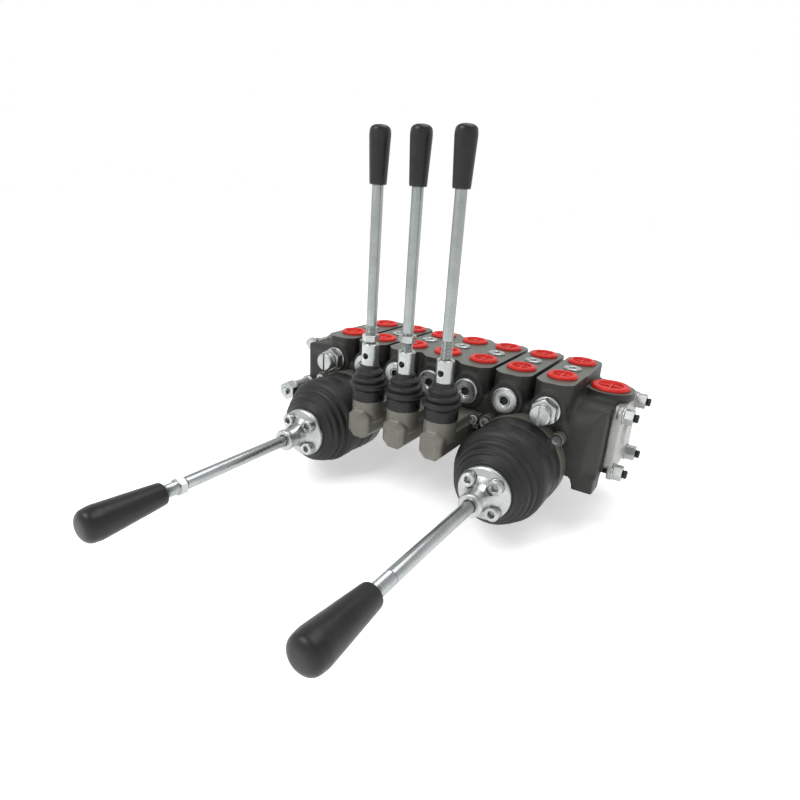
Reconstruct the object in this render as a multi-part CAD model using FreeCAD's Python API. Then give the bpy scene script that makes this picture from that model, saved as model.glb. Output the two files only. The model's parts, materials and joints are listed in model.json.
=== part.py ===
"""Seven-section monoblock directional control valve with three hand levers and two joysticks.

Frame: millimetres, +Z up, +X along the row of sections towards the inlet end, -Y towards the
levers. The origin is the centre of the four mounting holes, on the underside of the feet.
"""
import FreeCAD, Part
import math
import os

V = FreeCAD.Vector

# ---- Body casting -------------------------------------------------------------------------
SECTIONS = 7
PITCH = 40.0                 # distance between spool axes
RIDGE_WIDTH = 34.0           # width of one section's raised top
BODY_FRONT = -62.0           # y of the face that carries the levers
BODY_REAR = 55.0             # y of the face that carries the spring caps
UNDERSIDE = 10.0             # z of the casting's underside
PORT_TOP = 94.0              # z of the work port faces
SLOT_FLOOR = 68.0            # z where the gaps between the ridges end
SPOOL_Z = 32.0
RIDGE_CORNER = 7.0
END_LENGTH = 32.0            # length of the inlet and outlet ends beyond the outer ridges
INLET_TOP = 84.0
OUTLET_TOP = 78.0
END_CHAMFER = 11.0
END_ROUND = 27.0             # radius along the top front edge of each end
SECTION_X = [(i - (SECTIONS - 1) / 2) * PITCH for i in range(SECTIONS)]
CORE_X = SECTION_X[-1] + RIDGE_WIDTH / 2 + 1.0      # where the ends begin
END_X = CORE_X + END_LENGTH                          # outer face of each end

# ---- Feet ---------------------------------------------------------------------------------
FOOT_LENGTH = 27.0
FOOT_WIDTH = 26.0
FOOT_FLARE = 4.0
FOOT_HOLE_X = END_X - 6.0
FOOT_HOLE_Y = 44.0
FOOT_HOLE_R = 4.25           # tapping drill of an M10 thread
FOOT_HOLE_DEPTH = 18.0

# ---- Ports and plugs ----------------------------------------------------------------------
PORT_Y = 32.5                # work ports stand this far in front of and behind the middle
PORT_R = 9.5
PORT_DEPTH = 18.0
PORT_WAY_R = 5.0
PORT_PLUG_R = 14.2
INLET_X = END_X - 12.0
INLET_R = 12.0
INLET_PLUG_R = 18.0
END_BOSS_R = 22.0
END_PORT_DEPTH = 20.0
TANK_X = -(END_X - 14.5)
TANK_R = 13.0
TANK_PLUG_R = 18.0
PLUG_FLANGE = 3.2
PLUG_GAP = 0.15              # moulded plug to port wall
CHECK_R = 7.0
CHECK_DEPTH = 12.0
CHECK_SEAT_Z = 62.0
CHECK_WAY_R = 3.6
AUX_Z = 70.0                 # auxiliary valve cavities in the front and rear faces
AUX_R = 9.0
AUX_DEPTH = 16.0
AUX_WAY_R = 3.5
AUX_BOSS_R = 14.8
AUX_BOSS = 3.0
AUX_PLUG_R = 12.5
AUX_FLANGE = 4.5
RELIEF_FLATS = 22.0
RELIEF_LENGTH = 15.0
RELIEF_SLOT = 2.4
MAIN_RELIEF_X = -(END_X - 10.0)
MAIN_RELIEF_R = 8.0
MAIN_RELIEF_LENGTH = 30.0
MAIN_RELIEF_FLATS = 18.0
PUMP_WAY_Z = 54.0
PUMP_WAY_R = 4.5
END_WAY_R = 8.0
TANK_WAY_Y = 15.0

# ---- End covers ---------------------------------------------------------------------------
COVER_THICK = 8.0
COVER_HALF_Y = 37.0
COVER_Z = (6.0, 76.0)
STUD_Y = 29.0
STUD_Z = (14.0, 69.0)
STUD_R = 4.0
NUT_FLATS = 13.0
NUT_LENGTH = 8.0
STUD_TAIL = 4.0
GASKET = 1.0

# ---- Spools -------------------------------------------------------------------------------
SPOOL_R = 8.0
SPOOL_CLEARANCE = 0.03
STEM_R = 7.0
STROKE = 6.0                 # each way from neutral
NECK_R = 3.2
BUTTON = 3.0                 # length of the button in front of the neck
LAND_FRONT = BODY_FRONT + 13.0
LAND_REAR = BODY_REAR - 12.0
GROOVE_R = 5.4
GALLERY_R = 11.0
SEAL_WIRE = 1.5
SEAL_FRONT_Y = BODY_FRONT + 4.0
SEAL_REAR_Y = BODY_REAR - 4.0
TAIL_R = 4.0
TAIL_HEAD_R = 6.0
TAIL_HEAD = 5.0
SEAT_R = 12.2
SEAT_THICK = 2.0
SPRING_LENGTH = 30.0
SPRING_R = 9.0
SPRING_WIRE_R = 1.1
CAP_R = 15.5
CAP_INSIDE_R = 12.6
CAP_END_WALL = 4.0

# ---- Screw pattern shared by lever boxes, joystick housings and spring caps ---------------
SCREW_OFFSET = 14.0          # each way from a spool axis
SCREW_R = 3.0
SCREW_HEAD_R = 5.0
SCREW_HEAD = 6.0
SCREW_GRIP = 10.0
FLANGE_HALF = SCREW_OFFSET + 4.0
FLANGE_THICK = 8.0
FLANGE_CORNER = 4.0

# ---- Hand levers --------------------------------------------------------------------------
LEVER_SECTIONS = (2, 3, 4)   # indexes of the sections worked by the upright levers
LEVER_Y = BODY_FRONT - 53.0
LEVER_ARM = 19.0             # spool axis to lever pivot
PIVOT_Z = SPOOL_Z + LEVER_ARM
NOSE_Y = LEVER_Y - 16.5
NOSE_BEVEL = 3.5
NOSE_PAD = 1.2
BOX_HALF_X = 12.0
BOX_HALF_Z = 14.5
BOX_RISE = 2.0               # centre of the barrel above the spool axis
BOX_CORNER = 7.0
BOX_CAVITY_X = 9.2
TOWER_R = 15.0
TOWER_TOP = PIVOT_Z + 5.0
COLLAR_R = 15.75
COLLAR_TOP = TOWER_TOP + 14.0
COLLAR_BORE_R = 12.3
PIN_R = 3.0
PIN_CLEARANCE = 0.04
ARM_R = 5.0
ARM_BOSS_R = 6.5
FORK_INSIDE = 4.2
FORK_OUTSIDE = 8.2
FORK_TIP_R = 4.4
FORK_GAP = 10.0              # length of the neck that the fork works in
HOLDER_R = 8.0
HOLDER_Z = (COLLAR_TOP + 18.0, COLLAR_TOP + 41.0)
HOLDER_HOLE_R = 3.0
HOLDER_HOLE_Z = HOLDER_Z[0] + 11.5
ROD_R = 5.0
ROD_FOOT_Z = HOLDER_Z[1] - 7.0
ROD_TOP_Z = 290.0
KNOB_Z = (250.0, 297.0)
KNOB_FOOT_R = 7.5
KNOB_TOP_R = 9.2
LOCK_NUT_FLATS = 16.0
LOCK_NUT_THICK = 6.5
LOCK_NUT_Z = [HOLDER_Z[1] + rise for rise in (2.0, 8.0, 4.0)]    # one place for each nut

# ---- Joysticks ----------------------------------------------------------------------------
JOYSTICK_PAIRS = ((0, 1), (5, 6))    # sections worked by the left and the right joystick
JOY_DROP = PITCH / 2                 # joint centre below the spool axes: a square swash pattern
JOY_Z = SPOOL_Z - JOY_DROP
JOY_Y = BODY_FRONT - 30.0            # y of the universal joint's centre
JOY_FORK_GAP = 11.6
SWASH_R = JOY_DROP * 1.65
SWASH_HALF = 2.2
SWASH_FLAT = JOY_DROP        # the plate's lower edge is cut off this far below the joint
SWASH_BORE_R = 16.2
SWASH_SLOT_HALF = 5.2
CROSS_HALF = 5.0
CROSS_PIN_R = 3.0
CROSS_REACH = 13.6
EAR_START = 9.0
POST_EAR_END = 14.0
POST_R = 6.0
HOUSING_CAVITY_R = JOY_DROP * 1.9
HOUSING_SPIGOT_R = HOUSING_CAVITY_R + 2.6
HOUSING_R = HOUSING_SPIGOT_R + 3.4
HOUSING_ROOF = AUX_Z - AUX_PLUG_R - 1.75     # the rim keeps below the auxiliary plugs
HOUSING_Z = min(JOY_Z + 4.5, HOUSING_ROOF - math.sqrt(HOUSING_R ** 2 - JOY_DROP ** 2))
HOUSING_FLOOR = BODY_FRONT - 5.0
HOUSING_EAR_R = 6.5
HOUSING_EAR_END = BODY_FRONT - 8.8
HOUSING_RIM_END = BODY_FRONT - 13.0
HOUSING_SPIGOT_END = BODY_FRONT - 26.0
HOUSING_LOW_REACH = HOUSING_CAVITY_R - SCREW_HEAD_R - 2.0    # lower screws, on the floor
HUB_R = 23.5
HUB_PLATE = (JOY_Y - 37.0, JOY_Y - 44.0)
CAP_FLANGE_Y = (JOY_Y - 46.0, JOY_Y - 51.0)
CAP_FLANGE_R = 24.0
CAP_SCREW_R = 4.0
CAP_SCREW_HEAD_R = 6.5
CAP_SCREW_OFFSET = 12.0
STICK_NECK_Y = JOY_Y - 78.0
STICK_ROD_R = 5.6
STICK_KNOB_Y = (JOY_Y - 212.0, JOY_Y - 278.0)
STICK_KNOB_R = (9.4, 13.5)
STICK_NUT_Y = JOY_Y - 193.0   # lock nut in front of the left knob
JOY_SCREW_SEAT = BODY_FRONT - 7.0    # the ear screws are sunk so that the boot clears their heads


# ---- Shape helpers ------------------------------------------------------------------------
def bar_x(radius, x0, x1, y, z):
    return Part.makeCylinder(radius, abs(x1 - x0), V(min(x0, x1), y, z), V(1, 0, 0))


def bar_y(radius, y0, y1, x, z):
    return Part.makeCylinder(radius, abs(y1 - y0), V(x, min(y0, y1), z), V(0, 1, 0))


def bar_z(radius, z0, z1, x, y):
    return Part.makeCylinder(radius, abs(z1 - z0), V(x, y, min(z0, z1)), V(0, 0, 1))


def block(x0, x1, y0, y1, z0, z1):
    return Part.makeBox(x1 - x0, y1 - y0, z1 - z0, V(x0, y0, z0))


def plate(points, thick, direction):
    """Extrude the closed outline through the points by thick along direction."""
    outline = Part.makePolygon(points + [points[0]])
    return Part.Face(outline).extrude(direction * thick)


def turned_y(profile, x, z):
    """Solid of revolution about the line (x, z) along Y from (radius, y) points."""
    outline = Part.makePolygon([V(x + r, y, z) for r, y in profile + [profile[0]]])
    return Part.Face(outline).revolve(V(x, 0, z), V(0, 1, 0), 360)


def turned_z(profile, x, y):
    """Solid of revolution about the line (x, y) along Z from (radius, z) points."""
    outline = Part.makePolygon([V(x + r, y, z) for r, z in profile + [profile[0]]])
    return Part.Face(outline).revolve(V(x, y, 0), V(0, 0, 1), 360)


def hex_y(flats, y0, y1, x, z):
    radius = flats / math.sqrt(3)
    corners = [(math.cos(math.radians(60 * i)), math.sin(math.radians(60 * i))) for i in range(6)]
    points = [V(x + radius * c, min(y0, y1), z + radius * s) for c, s in corners]
    return plate(points, abs(y1 - y0), V(0, 1, 0))


def hex_z(flats, z0, z1, x, y):
    radius = flats / math.sqrt(3)
    corners = [(math.cos(math.radians(60 * i)), math.sin(math.radians(60 * i))) for i in range(6)]
    points = [V(x + radius * c, y + radius * s, min(z0, z1)) for c, s in corners]
    return plate(points, abs(z1 - z0), V(0, 0, 1))


def coil(radius, wire_r, turns, y0, y1, x, z):
    """Compression spring along Y whose ends lie just inside y0 and y1."""
    end_gap = 0.05
    height = y1 - y0 - 2 * wire_r - 2 * end_gap
    helix = Part.makeHelix(height / turns, height, radius)
    section = Part.Wire([Part.makeCircle(wire_r, V(radius, 0, 0), V(0, 1, 0))])
    spring = Part.Wire(helix).makePipeShell([section], True, True)
    spring.rotate(V(0, 0, 0), V(1, 0, 0), -90)
    spring.translate(V(x, y0 + wire_r + end_gap, z))
    return spring


def group(shapes):
    return Part.makeCompound(shapes)


def socket_screw(radius, head_r, head, grip, x, y, z):
    """Socket head screw along Y: its head stands in front of y, its shank runs back into +Y."""
    screw = bar_y(head_r, y - head, y, x, z).fuse(bar_y(radius, y, y + grip, x, z))
    return screw.cut(hex_y(head_r, y - head, y - head * 0.45, x, z)).removeSplitter()


def screw_spots(x, z):
    return [(x + dx * SCREW_OFFSET, z + dz * SCREW_OFFSET) for dx in (-1, 1) for dz in (-1, 1)]


def stick_x(pair):
    return (SECTION_X[pair[0]] + SECTION_X[pair[1]]) / 2


# ---- Body casting and its fittings --------------------------------------------------------
def end_prism(side, z0, z1):
    """Chamfered outline of the inlet (side 1) or outlet (side -1) end between two heights."""
    tip = END_X - END_CHAMFER * 0.6
    outline = [(CORE_X - 2, BODY_FRONT), (tip, BODY_FRONT), (END_X, BODY_FRONT + END_CHAMFER),
               (END_X, BODY_REAR - END_CHAMFER), (tip, BODY_REAR), (CORE_X - 2, BODY_REAR)]
    return plate([V(side * x, y, z0) for x, y in outline], z1 - z0, V(0, 0, 1))


def end_block(side, boss_x, top):
    """One end of the casting, rounded off towards the front, with a round port boss."""
    y, z = BODY_FRONT + END_ROUND, top - END_ROUND
    corner = block(-END_X - 1, END_X + 1, BODY_FRONT - 1, y, z, top + 1)
    corner = corner.cut(bar_x(END_ROUND, -END_X - 2, END_X + 2, y, z))
    boss = bar_z(END_BOSS_R, COVER_Z[1] + 0.8, top, boss_x, 0)
    return end_prism(side, UNDERSIDE, top).cut(corner).fuse(boss)


def ridge(x):
    solid = block(x - RIDGE_WIDTH / 2, x + RIDGE_WIDTH / 2, BODY_FRONT, BODY_REAR,
                  SLOT_FLOOR - 8, PORT_TOP)
    upright = [e for e in solid.Edges if abs(e.tangentAt(e.FirstParameter).z) > 0.99]
    return solid.makeFillet(RIDGE_CORNER, upright)


def foot(side_x, side_y):
    """Corner foot that flares into the casting and keeps inside the end's outline."""
    x_out = side_x * (END_X + 5)
    x_in = side_x * (END_X - FOOT_LENGTH)
    edge = BODY_REAR + 5 if side_y > 0 else BODY_FRONT - 5
    inner = edge - side_y * (FOOT_WIDTH + 5)
    top_x = x_in - side_x * FOOT_FLARE
    top_y = inner - side_y * FOOT_FLARE
    height = UNDERSIDE + 1
    low = [V(x_in, edge, 0), V(x_out, edge, 0), V(x_out, inner, 0), V(x_in, inner, 0)]
    top = [V(top_x, edge, height), V(x_out, edge, height),
           V(x_out, top_y, height), V(top_x, top_y, height)]
    wires = [Part.makePolygon(w + [w[0]]) for w in (low, top)]
    return Part.makeLoft(wires, True, True).common(end_prism(side_x, 0, height + 5))


def section_cavities(x):
    """Bores of one section: spool, ports, load check and the two auxiliary cavities."""
    cuts = [bar_y(SPOOL_R + SPOOL_CLEARANCE, BODY_FRONT - 1, BODY_REAR + 1, x, SPOOL_Z)]
    for y in (-PORT_Y, -TANK_WAY_Y, 0, TANK_WAY_Y, PORT_Y):
        cuts.append(bar_y(GALLERY_R, y - 4, y + 4, x, SPOOL_Z))
    for y in (SEAL_FRONT_Y, SEAL_REAR_Y):
        cuts.append(bar_y(STEM_R + 0.05 + 2 * SEAL_WIRE, y - SEAL_WIRE - 0.1,
                          y + SEAL_WIRE + 0.1, x, SPOOL_Z))
    for y in (-PORT_Y, PORT_Y):
        cuts.append(bar_z(PORT_R, PORT_TOP - PORT_DEPTH, PORT_TOP + 1, x, y))
        cuts.append(bar_z(PORT_WAY_R, SPOOL_Z + 6, PORT_TOP - PORT_DEPTH + 1, x, y))
    cuts.append(bar_z(CHECK_R, PORT_TOP - CHECK_DEPTH, PORT_TOP + 1, x, 0))
    cuts.append(bar_z(CHECK_R - 1.2, CHECK_SEAT_Z, PORT_TOP - CHECK_DEPTH + 1, x, 0))
    cuts.append(bar_z(CHECK_WAY_R, SPOOL_Z + 6, CHECK_SEAT_Z + 1, x, 0))
    for face, side in ((BODY_FRONT - AUX_BOSS, 1), (BODY_REAR + AUX_BOSS, -1)):
        cuts.append(bar_y(AUX_R, face - side, face + side * (AUX_DEPTH + AUX_BOSS), x, AUX_Z))
        cuts.append(bar_y(AUX_WAY_R, face, -side * PORT_Y, x, AUX_Z))
    return cuts


def valve_body():
    solid = block(-CORE_X, CORE_X, BODY_FRONT, BODY_REAR, UNDERSIDE, SLOT_FLOOR)
    adds = [end_block(1, INLET_X, INLET_TOP), end_block(-1, TANK_X, OUTLET_TOP)]
    adds += [ridge(x) for x in SECTION_X]
    adds += [foot(sx, sy) for sx in (-1, 1) for sy in (-1, 1)]
    for x in SECTION_X:
        adds.append(bar_y(AUX_BOSS_R, BODY_FRONT - AUX_BOSS, BODY_FRONT + 2, x, AUX_Z))
        adds.append(bar_y(AUX_BOSS_R, BODY_REAR - 2, BODY_REAR + AUX_BOSS, x, AUX_Z))
    solid = solid.multiFuse(adds).removeSplitter()

    cuts = []
    for x in SECTION_X:
        cuts += section_cavities(x)
    for y, z in ((0, PUMP_WAY_Z), (-TANK_WAY_Y, PUMP_WAY_Z - 8), (TANK_WAY_Y, PUMP_WAY_Z - 8)):
        cuts.append(bar_x(PUMP_WAY_R, -END_X - 1, END_X + 1, y, z))
    for x, radius, top in ((INLET_X, INLET_R, INLET_TOP), (TANK_X, TANK_R, OUTLET_TOP)):
        cuts.append(bar_z(radius, top - END_PORT_DEPTH, top + 1, x, 0))
        cuts.append(bar_z(END_WAY_R, PUMP_WAY_Z - 1, top - END_PORT_DEPTH + 1, x, 0))
    cuts.append(bar_y(MAIN_RELIEF_R, BODY_FRONT - 1, BODY_FRONT + 24, MAIN_RELIEF_X, SPOOL_Z))
    for sx in (-1, 1):
        for sy in (-1, 1):
            cuts.append(bar_z(FOOT_HOLE_R, -1, FOOT_HOLE_DEPTH, sx * FOOT_HOLE_X,
                              sy * FOOT_HOLE_Y))
        for y in (-STUD_Y, STUD_Y):
            for z in STUD_Z:
                cuts.append(bar_x(STUD_R, sx * (END_X - SCREW_GRIP), sx * (END_X + 1), y, z))
    front = [p for i in LEVER_SECTIONS for p in box_screw_spots(SECTION_X[i])]
    front += [p for pair in JOYSTICK_PAIRS for p in joystick_screw_spots(stick_x(pair))]
    cuts += [bar_y(SCREW_R, BODY_FRONT - 1, BODY_FRONT + SCREW_GRIP, x, z) for x, z in front]
    rear = [p for x in SECTION_X for p in screw_spots(x, SPOOL_Z)]
    cuts += [bar_y(SCREW_R, BODY_REAR - SCREW_GRIP, BODY_REAR + 1, x, z) for x, z in rear]
    return solid.cut(cuts)


def plastic_plug(flange_r, shank_r, x, y, z):
    """Moulded plug: domed flange with a round recess and a hollow shank in the port."""
    recess_r = flange_r * 0.62
    length = PORT_DEPTH * 0.6
    profile = [(0, z - length), (shank_r, z - length), (shank_r, z), (flange_r, z),
               (flange_r, z + PLUG_FLANGE * 0.55), (flange_r - 1.6, z + PLUG_FLANGE),
               (recess_r + 1, z + PLUG_FLANGE), (recess_r, z + PLUG_FLANGE - 2.2),
               (0, z + PLUG_FLANGE - 2.2)]
    return turned_z(profile, x, y)


def check_plug(x):
    flange = turned_z([(0, PORT_TOP - CHECK_DEPTH + 4), (CHECK_R, PORT_TOP - CHECK_DEPTH + 4),
                       (CHECK_R, PORT_TOP), (8.6, PORT_TOP), (8.6, PORT_TOP + 1.4),
                       (7.8, PORT_TOP + 2.0), (0, PORT_TOP + 2.0)], x, 0)
    return flange.cut(hex_z(6.0, PORT_TOP - 3.0, PORT_TOP + 3.0, x, 0))


def check_poppet(x):
    top = CHECK_SEAT_Z + 9.0
    return turned_z([(0, CHECK_SEAT_Z - 2.4), (CHECK_WAY_R - 2.0, CHECK_SEAT_Z - 2.4),
                     (CHECK_WAY_R - 0.1, CHECK_SEAT_Z), (CHECK_R - 1.4, CHECK_SEAT_Z + 1.4),
                     (CHECK_R - 1.4, top), (0, top)], x, 0)


def check_spring(x):
    low = CHECK_SEAT_Z + 9.0
    spring = coil(3.2, 0.55, 4, 0, PORT_TOP - CHECK_DEPTH + 4 - low, 0, 0)
    spring.rotate(V(0, 0, 0), V(1, 0, 0), 90)
    spring.translate(V(x, 0, low))
    return spring


def blanking_plug(x, front):
    """Hex socket plug in an auxiliary cavity of the front or the rear face."""
    side = -1 if front else 1
    face = (BODY_FRONT - AUX_BOSS) if front else (BODY_REAR + AUX_BOSS)
    rim = face + side * AUX_FLANGE
    profile = [(0, face - side * 13), (AUX_R, face - side * 13), (AUX_R, face),
               (AUX_PLUG_R, face), (AUX_PLUG_R, rim - side * 1.0), (AUX_PLUG_R - 1.0, rim),
               (0, rim)]
    if not front:
        profile = profile[::-1]
    plug = turned_y(profile, x, AUX_Z)
    return plug.cut(hex_y(8.0, rim + side, rim - side * 7.0, x, AUX_Z))


def relief_cartridge(x):
    face = BODY_FRONT - AUX_BOSS
    shank = bar_y(AUX_R, face, face + 13, x, AUX_Z)
    collar = bar_y(AUX_PLUG_R, face - 3, face, x, AUX_Z)
    body = hex_y(RELIEF_FLATS, face - 3 - RELIEF_LENGTH * 0.6, face - 3, x, AUX_Z)
    rounded = body.common(turned_y([(0, face - 3), (13.2, face - 3),
                                    (13.2, face - 10.5), (11.0, face - 12), (0, face - 12)],
                                   x, AUX_Z))
    return shank.fuse([collar, rounded]).removeSplitter()


def relief_adjuster(x, y, z, radius, length):
    """Slotted round cap that stands in front of a relief cartridge."""
    half = RELIEF_SLOT / 2
    cap = turned_y([(0, y), (radius, y), (radius, y - length + 1.2), (radius - 1.2, y - length),
                    (0, y - length)], x, z)
    return cap.cut(block(x - half, x + half, y - length - 1, y - length + 2,
                         z - radius - 1, z + radius + 1))


def main_relief():
    sleeve = bar_y(MAIN_RELIEF_R - 0.6, BODY_FRONT - MAIN_RELIEF_LENGTH, BODY_FRONT,
                   MAIN_RELIEF_X, SPOOL_Z)
    shank = bar_y(MAIN_RELIEF_R, BODY_FRONT, BODY_FRONT + 20, MAIN_RELIEF_X, SPOOL_Z)
    nut = hex_y(MAIN_RELIEF_FLATS, BODY_FRONT - MAIN_RELIEF_LENGTH - 9,
                BODY_FRONT - MAIN_RELIEF_LENGTH, MAIN_RELIEF_X, SPOOL_Z)
    return sleeve.fuse([shank, nut]).removeSplitter()


def end_cover(side):
    inner = END_X + GASKET
    y, z0, z1 = COVER_HALF_Y, COVER_Z[0] + UNDERSIDE - 4, COVER_Z[1]
    cut = 9.0
    outline = [(-y + cut, z0), (y - cut, z0), (y, z0 + cut), (y, z1 - cut), (y - cut, z1),
               (-y + cut, z1), (-y, z1 - cut), (-y, z0 + cut)]
    cover = plate([V(side * inner, a, b) for a, b in outline], COVER_THICK, V(side, 0, 0))
    pocket = block(0, 4.0, -y + 17, y - 17, z0 + 16, z1 - 16)
    pocket.translate(V(inner + COVER_THICK - 4 if side > 0 else -inner - COVER_THICK, 0, 0))
    holes = [bar_x(STUD_R, side * (inner - 1), side * (inner + COVER_THICK + 1), a, b)
             for a in (-STUD_Y, STUD_Y) for b in STUD_Z]
    return cover.cut([pocket] + holes)


def cover_gasket(side):
    y, z0, z1 = COVER_HALF_Y - 1, COVER_Z[0] + UNDERSIDE - 3, COVER_Z[1] - 1
    x0 = min(side * END_X, side * (END_X + GASKET))
    sheet = block(x0, x0 + GASKET, -y, y, z0, z1)
    holes = [bar_x(STUD_R, x0 - 1, x0 + GASKET + 1, a, b)
             for a in (-STUD_Y, STUD_Y) for b in STUD_Z]
    ways = [bar_x(PUMP_WAY_R, x0 - 1, x0 + GASKET + 1, y, z) for y, z in
            ((0, PUMP_WAY_Z), (-TANK_WAY_Y, PUMP_WAY_Z - 8), (TANK_WAY_Y, PUMP_WAY_Z - 8))]
    return sheet.cut(holes + ways)


def cover_stud(side, y, z):
    inner = side * (END_X - SCREW_GRIP)
    return bar_x(STUD_R, inner, side * (END_X + GASKET + COVER_THICK + NUT_LENGTH + STUD_TAIL),
                 y, z)


def cover_nut(side, y, z):
    start = END_X + GASKET + COVER_THICK
    radius = NUT_FLATS / math.sqrt(3)
    points = [V(side * start, y + radius * math.cos(math.radians(60 * i)),
                z + radius * math.sin(math.radians(60 * i))) for i in range(6)]
    nut = plate(points, NUT_LENGTH, V(side, 0, 0))
    return nut.cut(bar_x(STUD_R, side * (start - 1), side * (start + NUT_LENGTH + 1), y, z))


# ---- Spools and their rear ends -----------------------------------------------------------
def spool(x, fork_y, gap):
    """Spool with button and neck for the lever's fork, sealing lands and a centring tail."""
    neck0 = fork_y - gap / 2
    neck1 = fork_y + gap / 2
    profile = [(0, neck0 - BUTTON), (STEM_R, neck0 - BUTTON), (STEM_R, neck0), (NECK_R, neck0),
               (NECK_R, neck1), (STEM_R, neck1), (STEM_R, LAND_FRONT), (SPOOL_R, LAND_FRONT)]
    for groove in (-PORT_Y + 8.5, -7.5, 7.5, PORT_Y - 8.5):
        profile += [(SPOOL_R, groove - 4), (GROOVE_R, groove - 3),
                    (GROOVE_R, groove + 3), (SPOOL_R, groove + 4)]
    tail_end = BODY_REAR + 2 * SEAT_THICK + SPRING_LENGTH
    profile += [(SPOOL_R, LAND_REAR), (STEM_R, LAND_REAR), (STEM_R, BODY_REAR),
                (TAIL_R, BODY_REAR), (TAIL_R, tail_end), (TAIL_HEAD_R, tail_end),
                (TAIL_HEAD_R, tail_end + TAIL_HEAD), (0, tail_end + TAIL_HEAD)]
    return turned_y(profile, x, SPOOL_Z)


def spool_seal(x, y):
    ring = STEM_R + 0.05 + SEAL_WIRE
    return Part.makeTorus(ring, SEAL_WIRE, V(x, y, SPOOL_Z), V(0, 1, 0))


def spring_seat(x, y):
    disc = bar_y(SEAT_R, y, y + SEAT_THICK, x, SPOOL_Z)
    return disc.cut(bar_y(TAIL_R + 0.3, y - 1, y + SEAT_THICK + 1, x, SPOOL_Z))


def spring_cap(x):
    step = BODY_REAR + 2 * SEAT_THICK + SPRING_LENGTH
    end = step + TAIL_HEAD + STROKE + 2
    y0, h = BODY_REAR, FLANGE_HALF
    flange = block(x - h, x + h, y0, y0 + FLANGE_THICK, SPOOL_Z - h, SPOOL_Z + h)
    long_edges = [e for e in flange.Edges if abs(e.tangentAt(e.FirstParameter).y) > 0.99]
    flange = flange.makeFillet(5.0, long_edges)
    dome = turned_y([(0, y0), (CAP_R, y0), (CAP_R, step), (CAP_R - 3.5, end - 2),
                     (CAP_R - 5.5, end + CAP_END_WALL), (0, end + CAP_END_WALL)], x, SPOOL_Z)
    cavity = turned_y([(0, y0 - 1), (CAP_INSIDE_R, y0 - 1), (CAP_INSIDE_R, step),
                       (TAIL_HEAD_R + 1, step), (TAIL_HEAD_R + 1, end), (0, end)], x, SPOOL_Z)
    holes = [bar_y(SCREW_R, y0 - 1, y0 + FLANGE_THICK + 1, sx, sz)
             for sx, sz in screw_spots(x, SPOOL_Z)]
    heads = [bar_y(SCREW_HEAD_R + 0.4, y0 + FLANGE_THICK, y0 + FLANGE_THICK + SCREW_HEAD + 4,
                   sx, sz) for sx, sz in screw_spots(x, SPOOL_Z)]
    return flange.fuse(dome).removeSplitter().cut([cavity] + holes + heads)


def spring_cap_screws():
    screws = []
    face = BODY_REAR + FLANGE_THICK
    for x in SECTION_X:
        for sx, sz in screw_spots(x, SPOOL_Z):
            screw = socket_screw(SCREW_R, SCREW_HEAD_R, SCREW_HEAD,
                                 FLANGE_THICK + SCREW_GRIP - 1, sx, 0, sz)
            screw.rotate(V(sx, 0, sz), V(0, 0, 1), 180)
            screw.translate(V(0, face, 0))
            screws.append(screw)
    return screws


# ---- Hand levers --------------------------------------------------------------------------
def octagon(x, y, half_x, half_z, corner):
    shape = [(half_x - corner, -half_z), (half_x, -half_z + corner), (half_x, half_z - corner),
             (half_x - corner, half_z), (-half_x + corner, half_z), (-half_x, half_z - corner),
             (-half_x, -half_z + corner), (-half_x + corner, -half_z)]
    return [V(x + a, y, SPOOL_Z + BOX_RISE + b) for a, b in shape]


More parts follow.
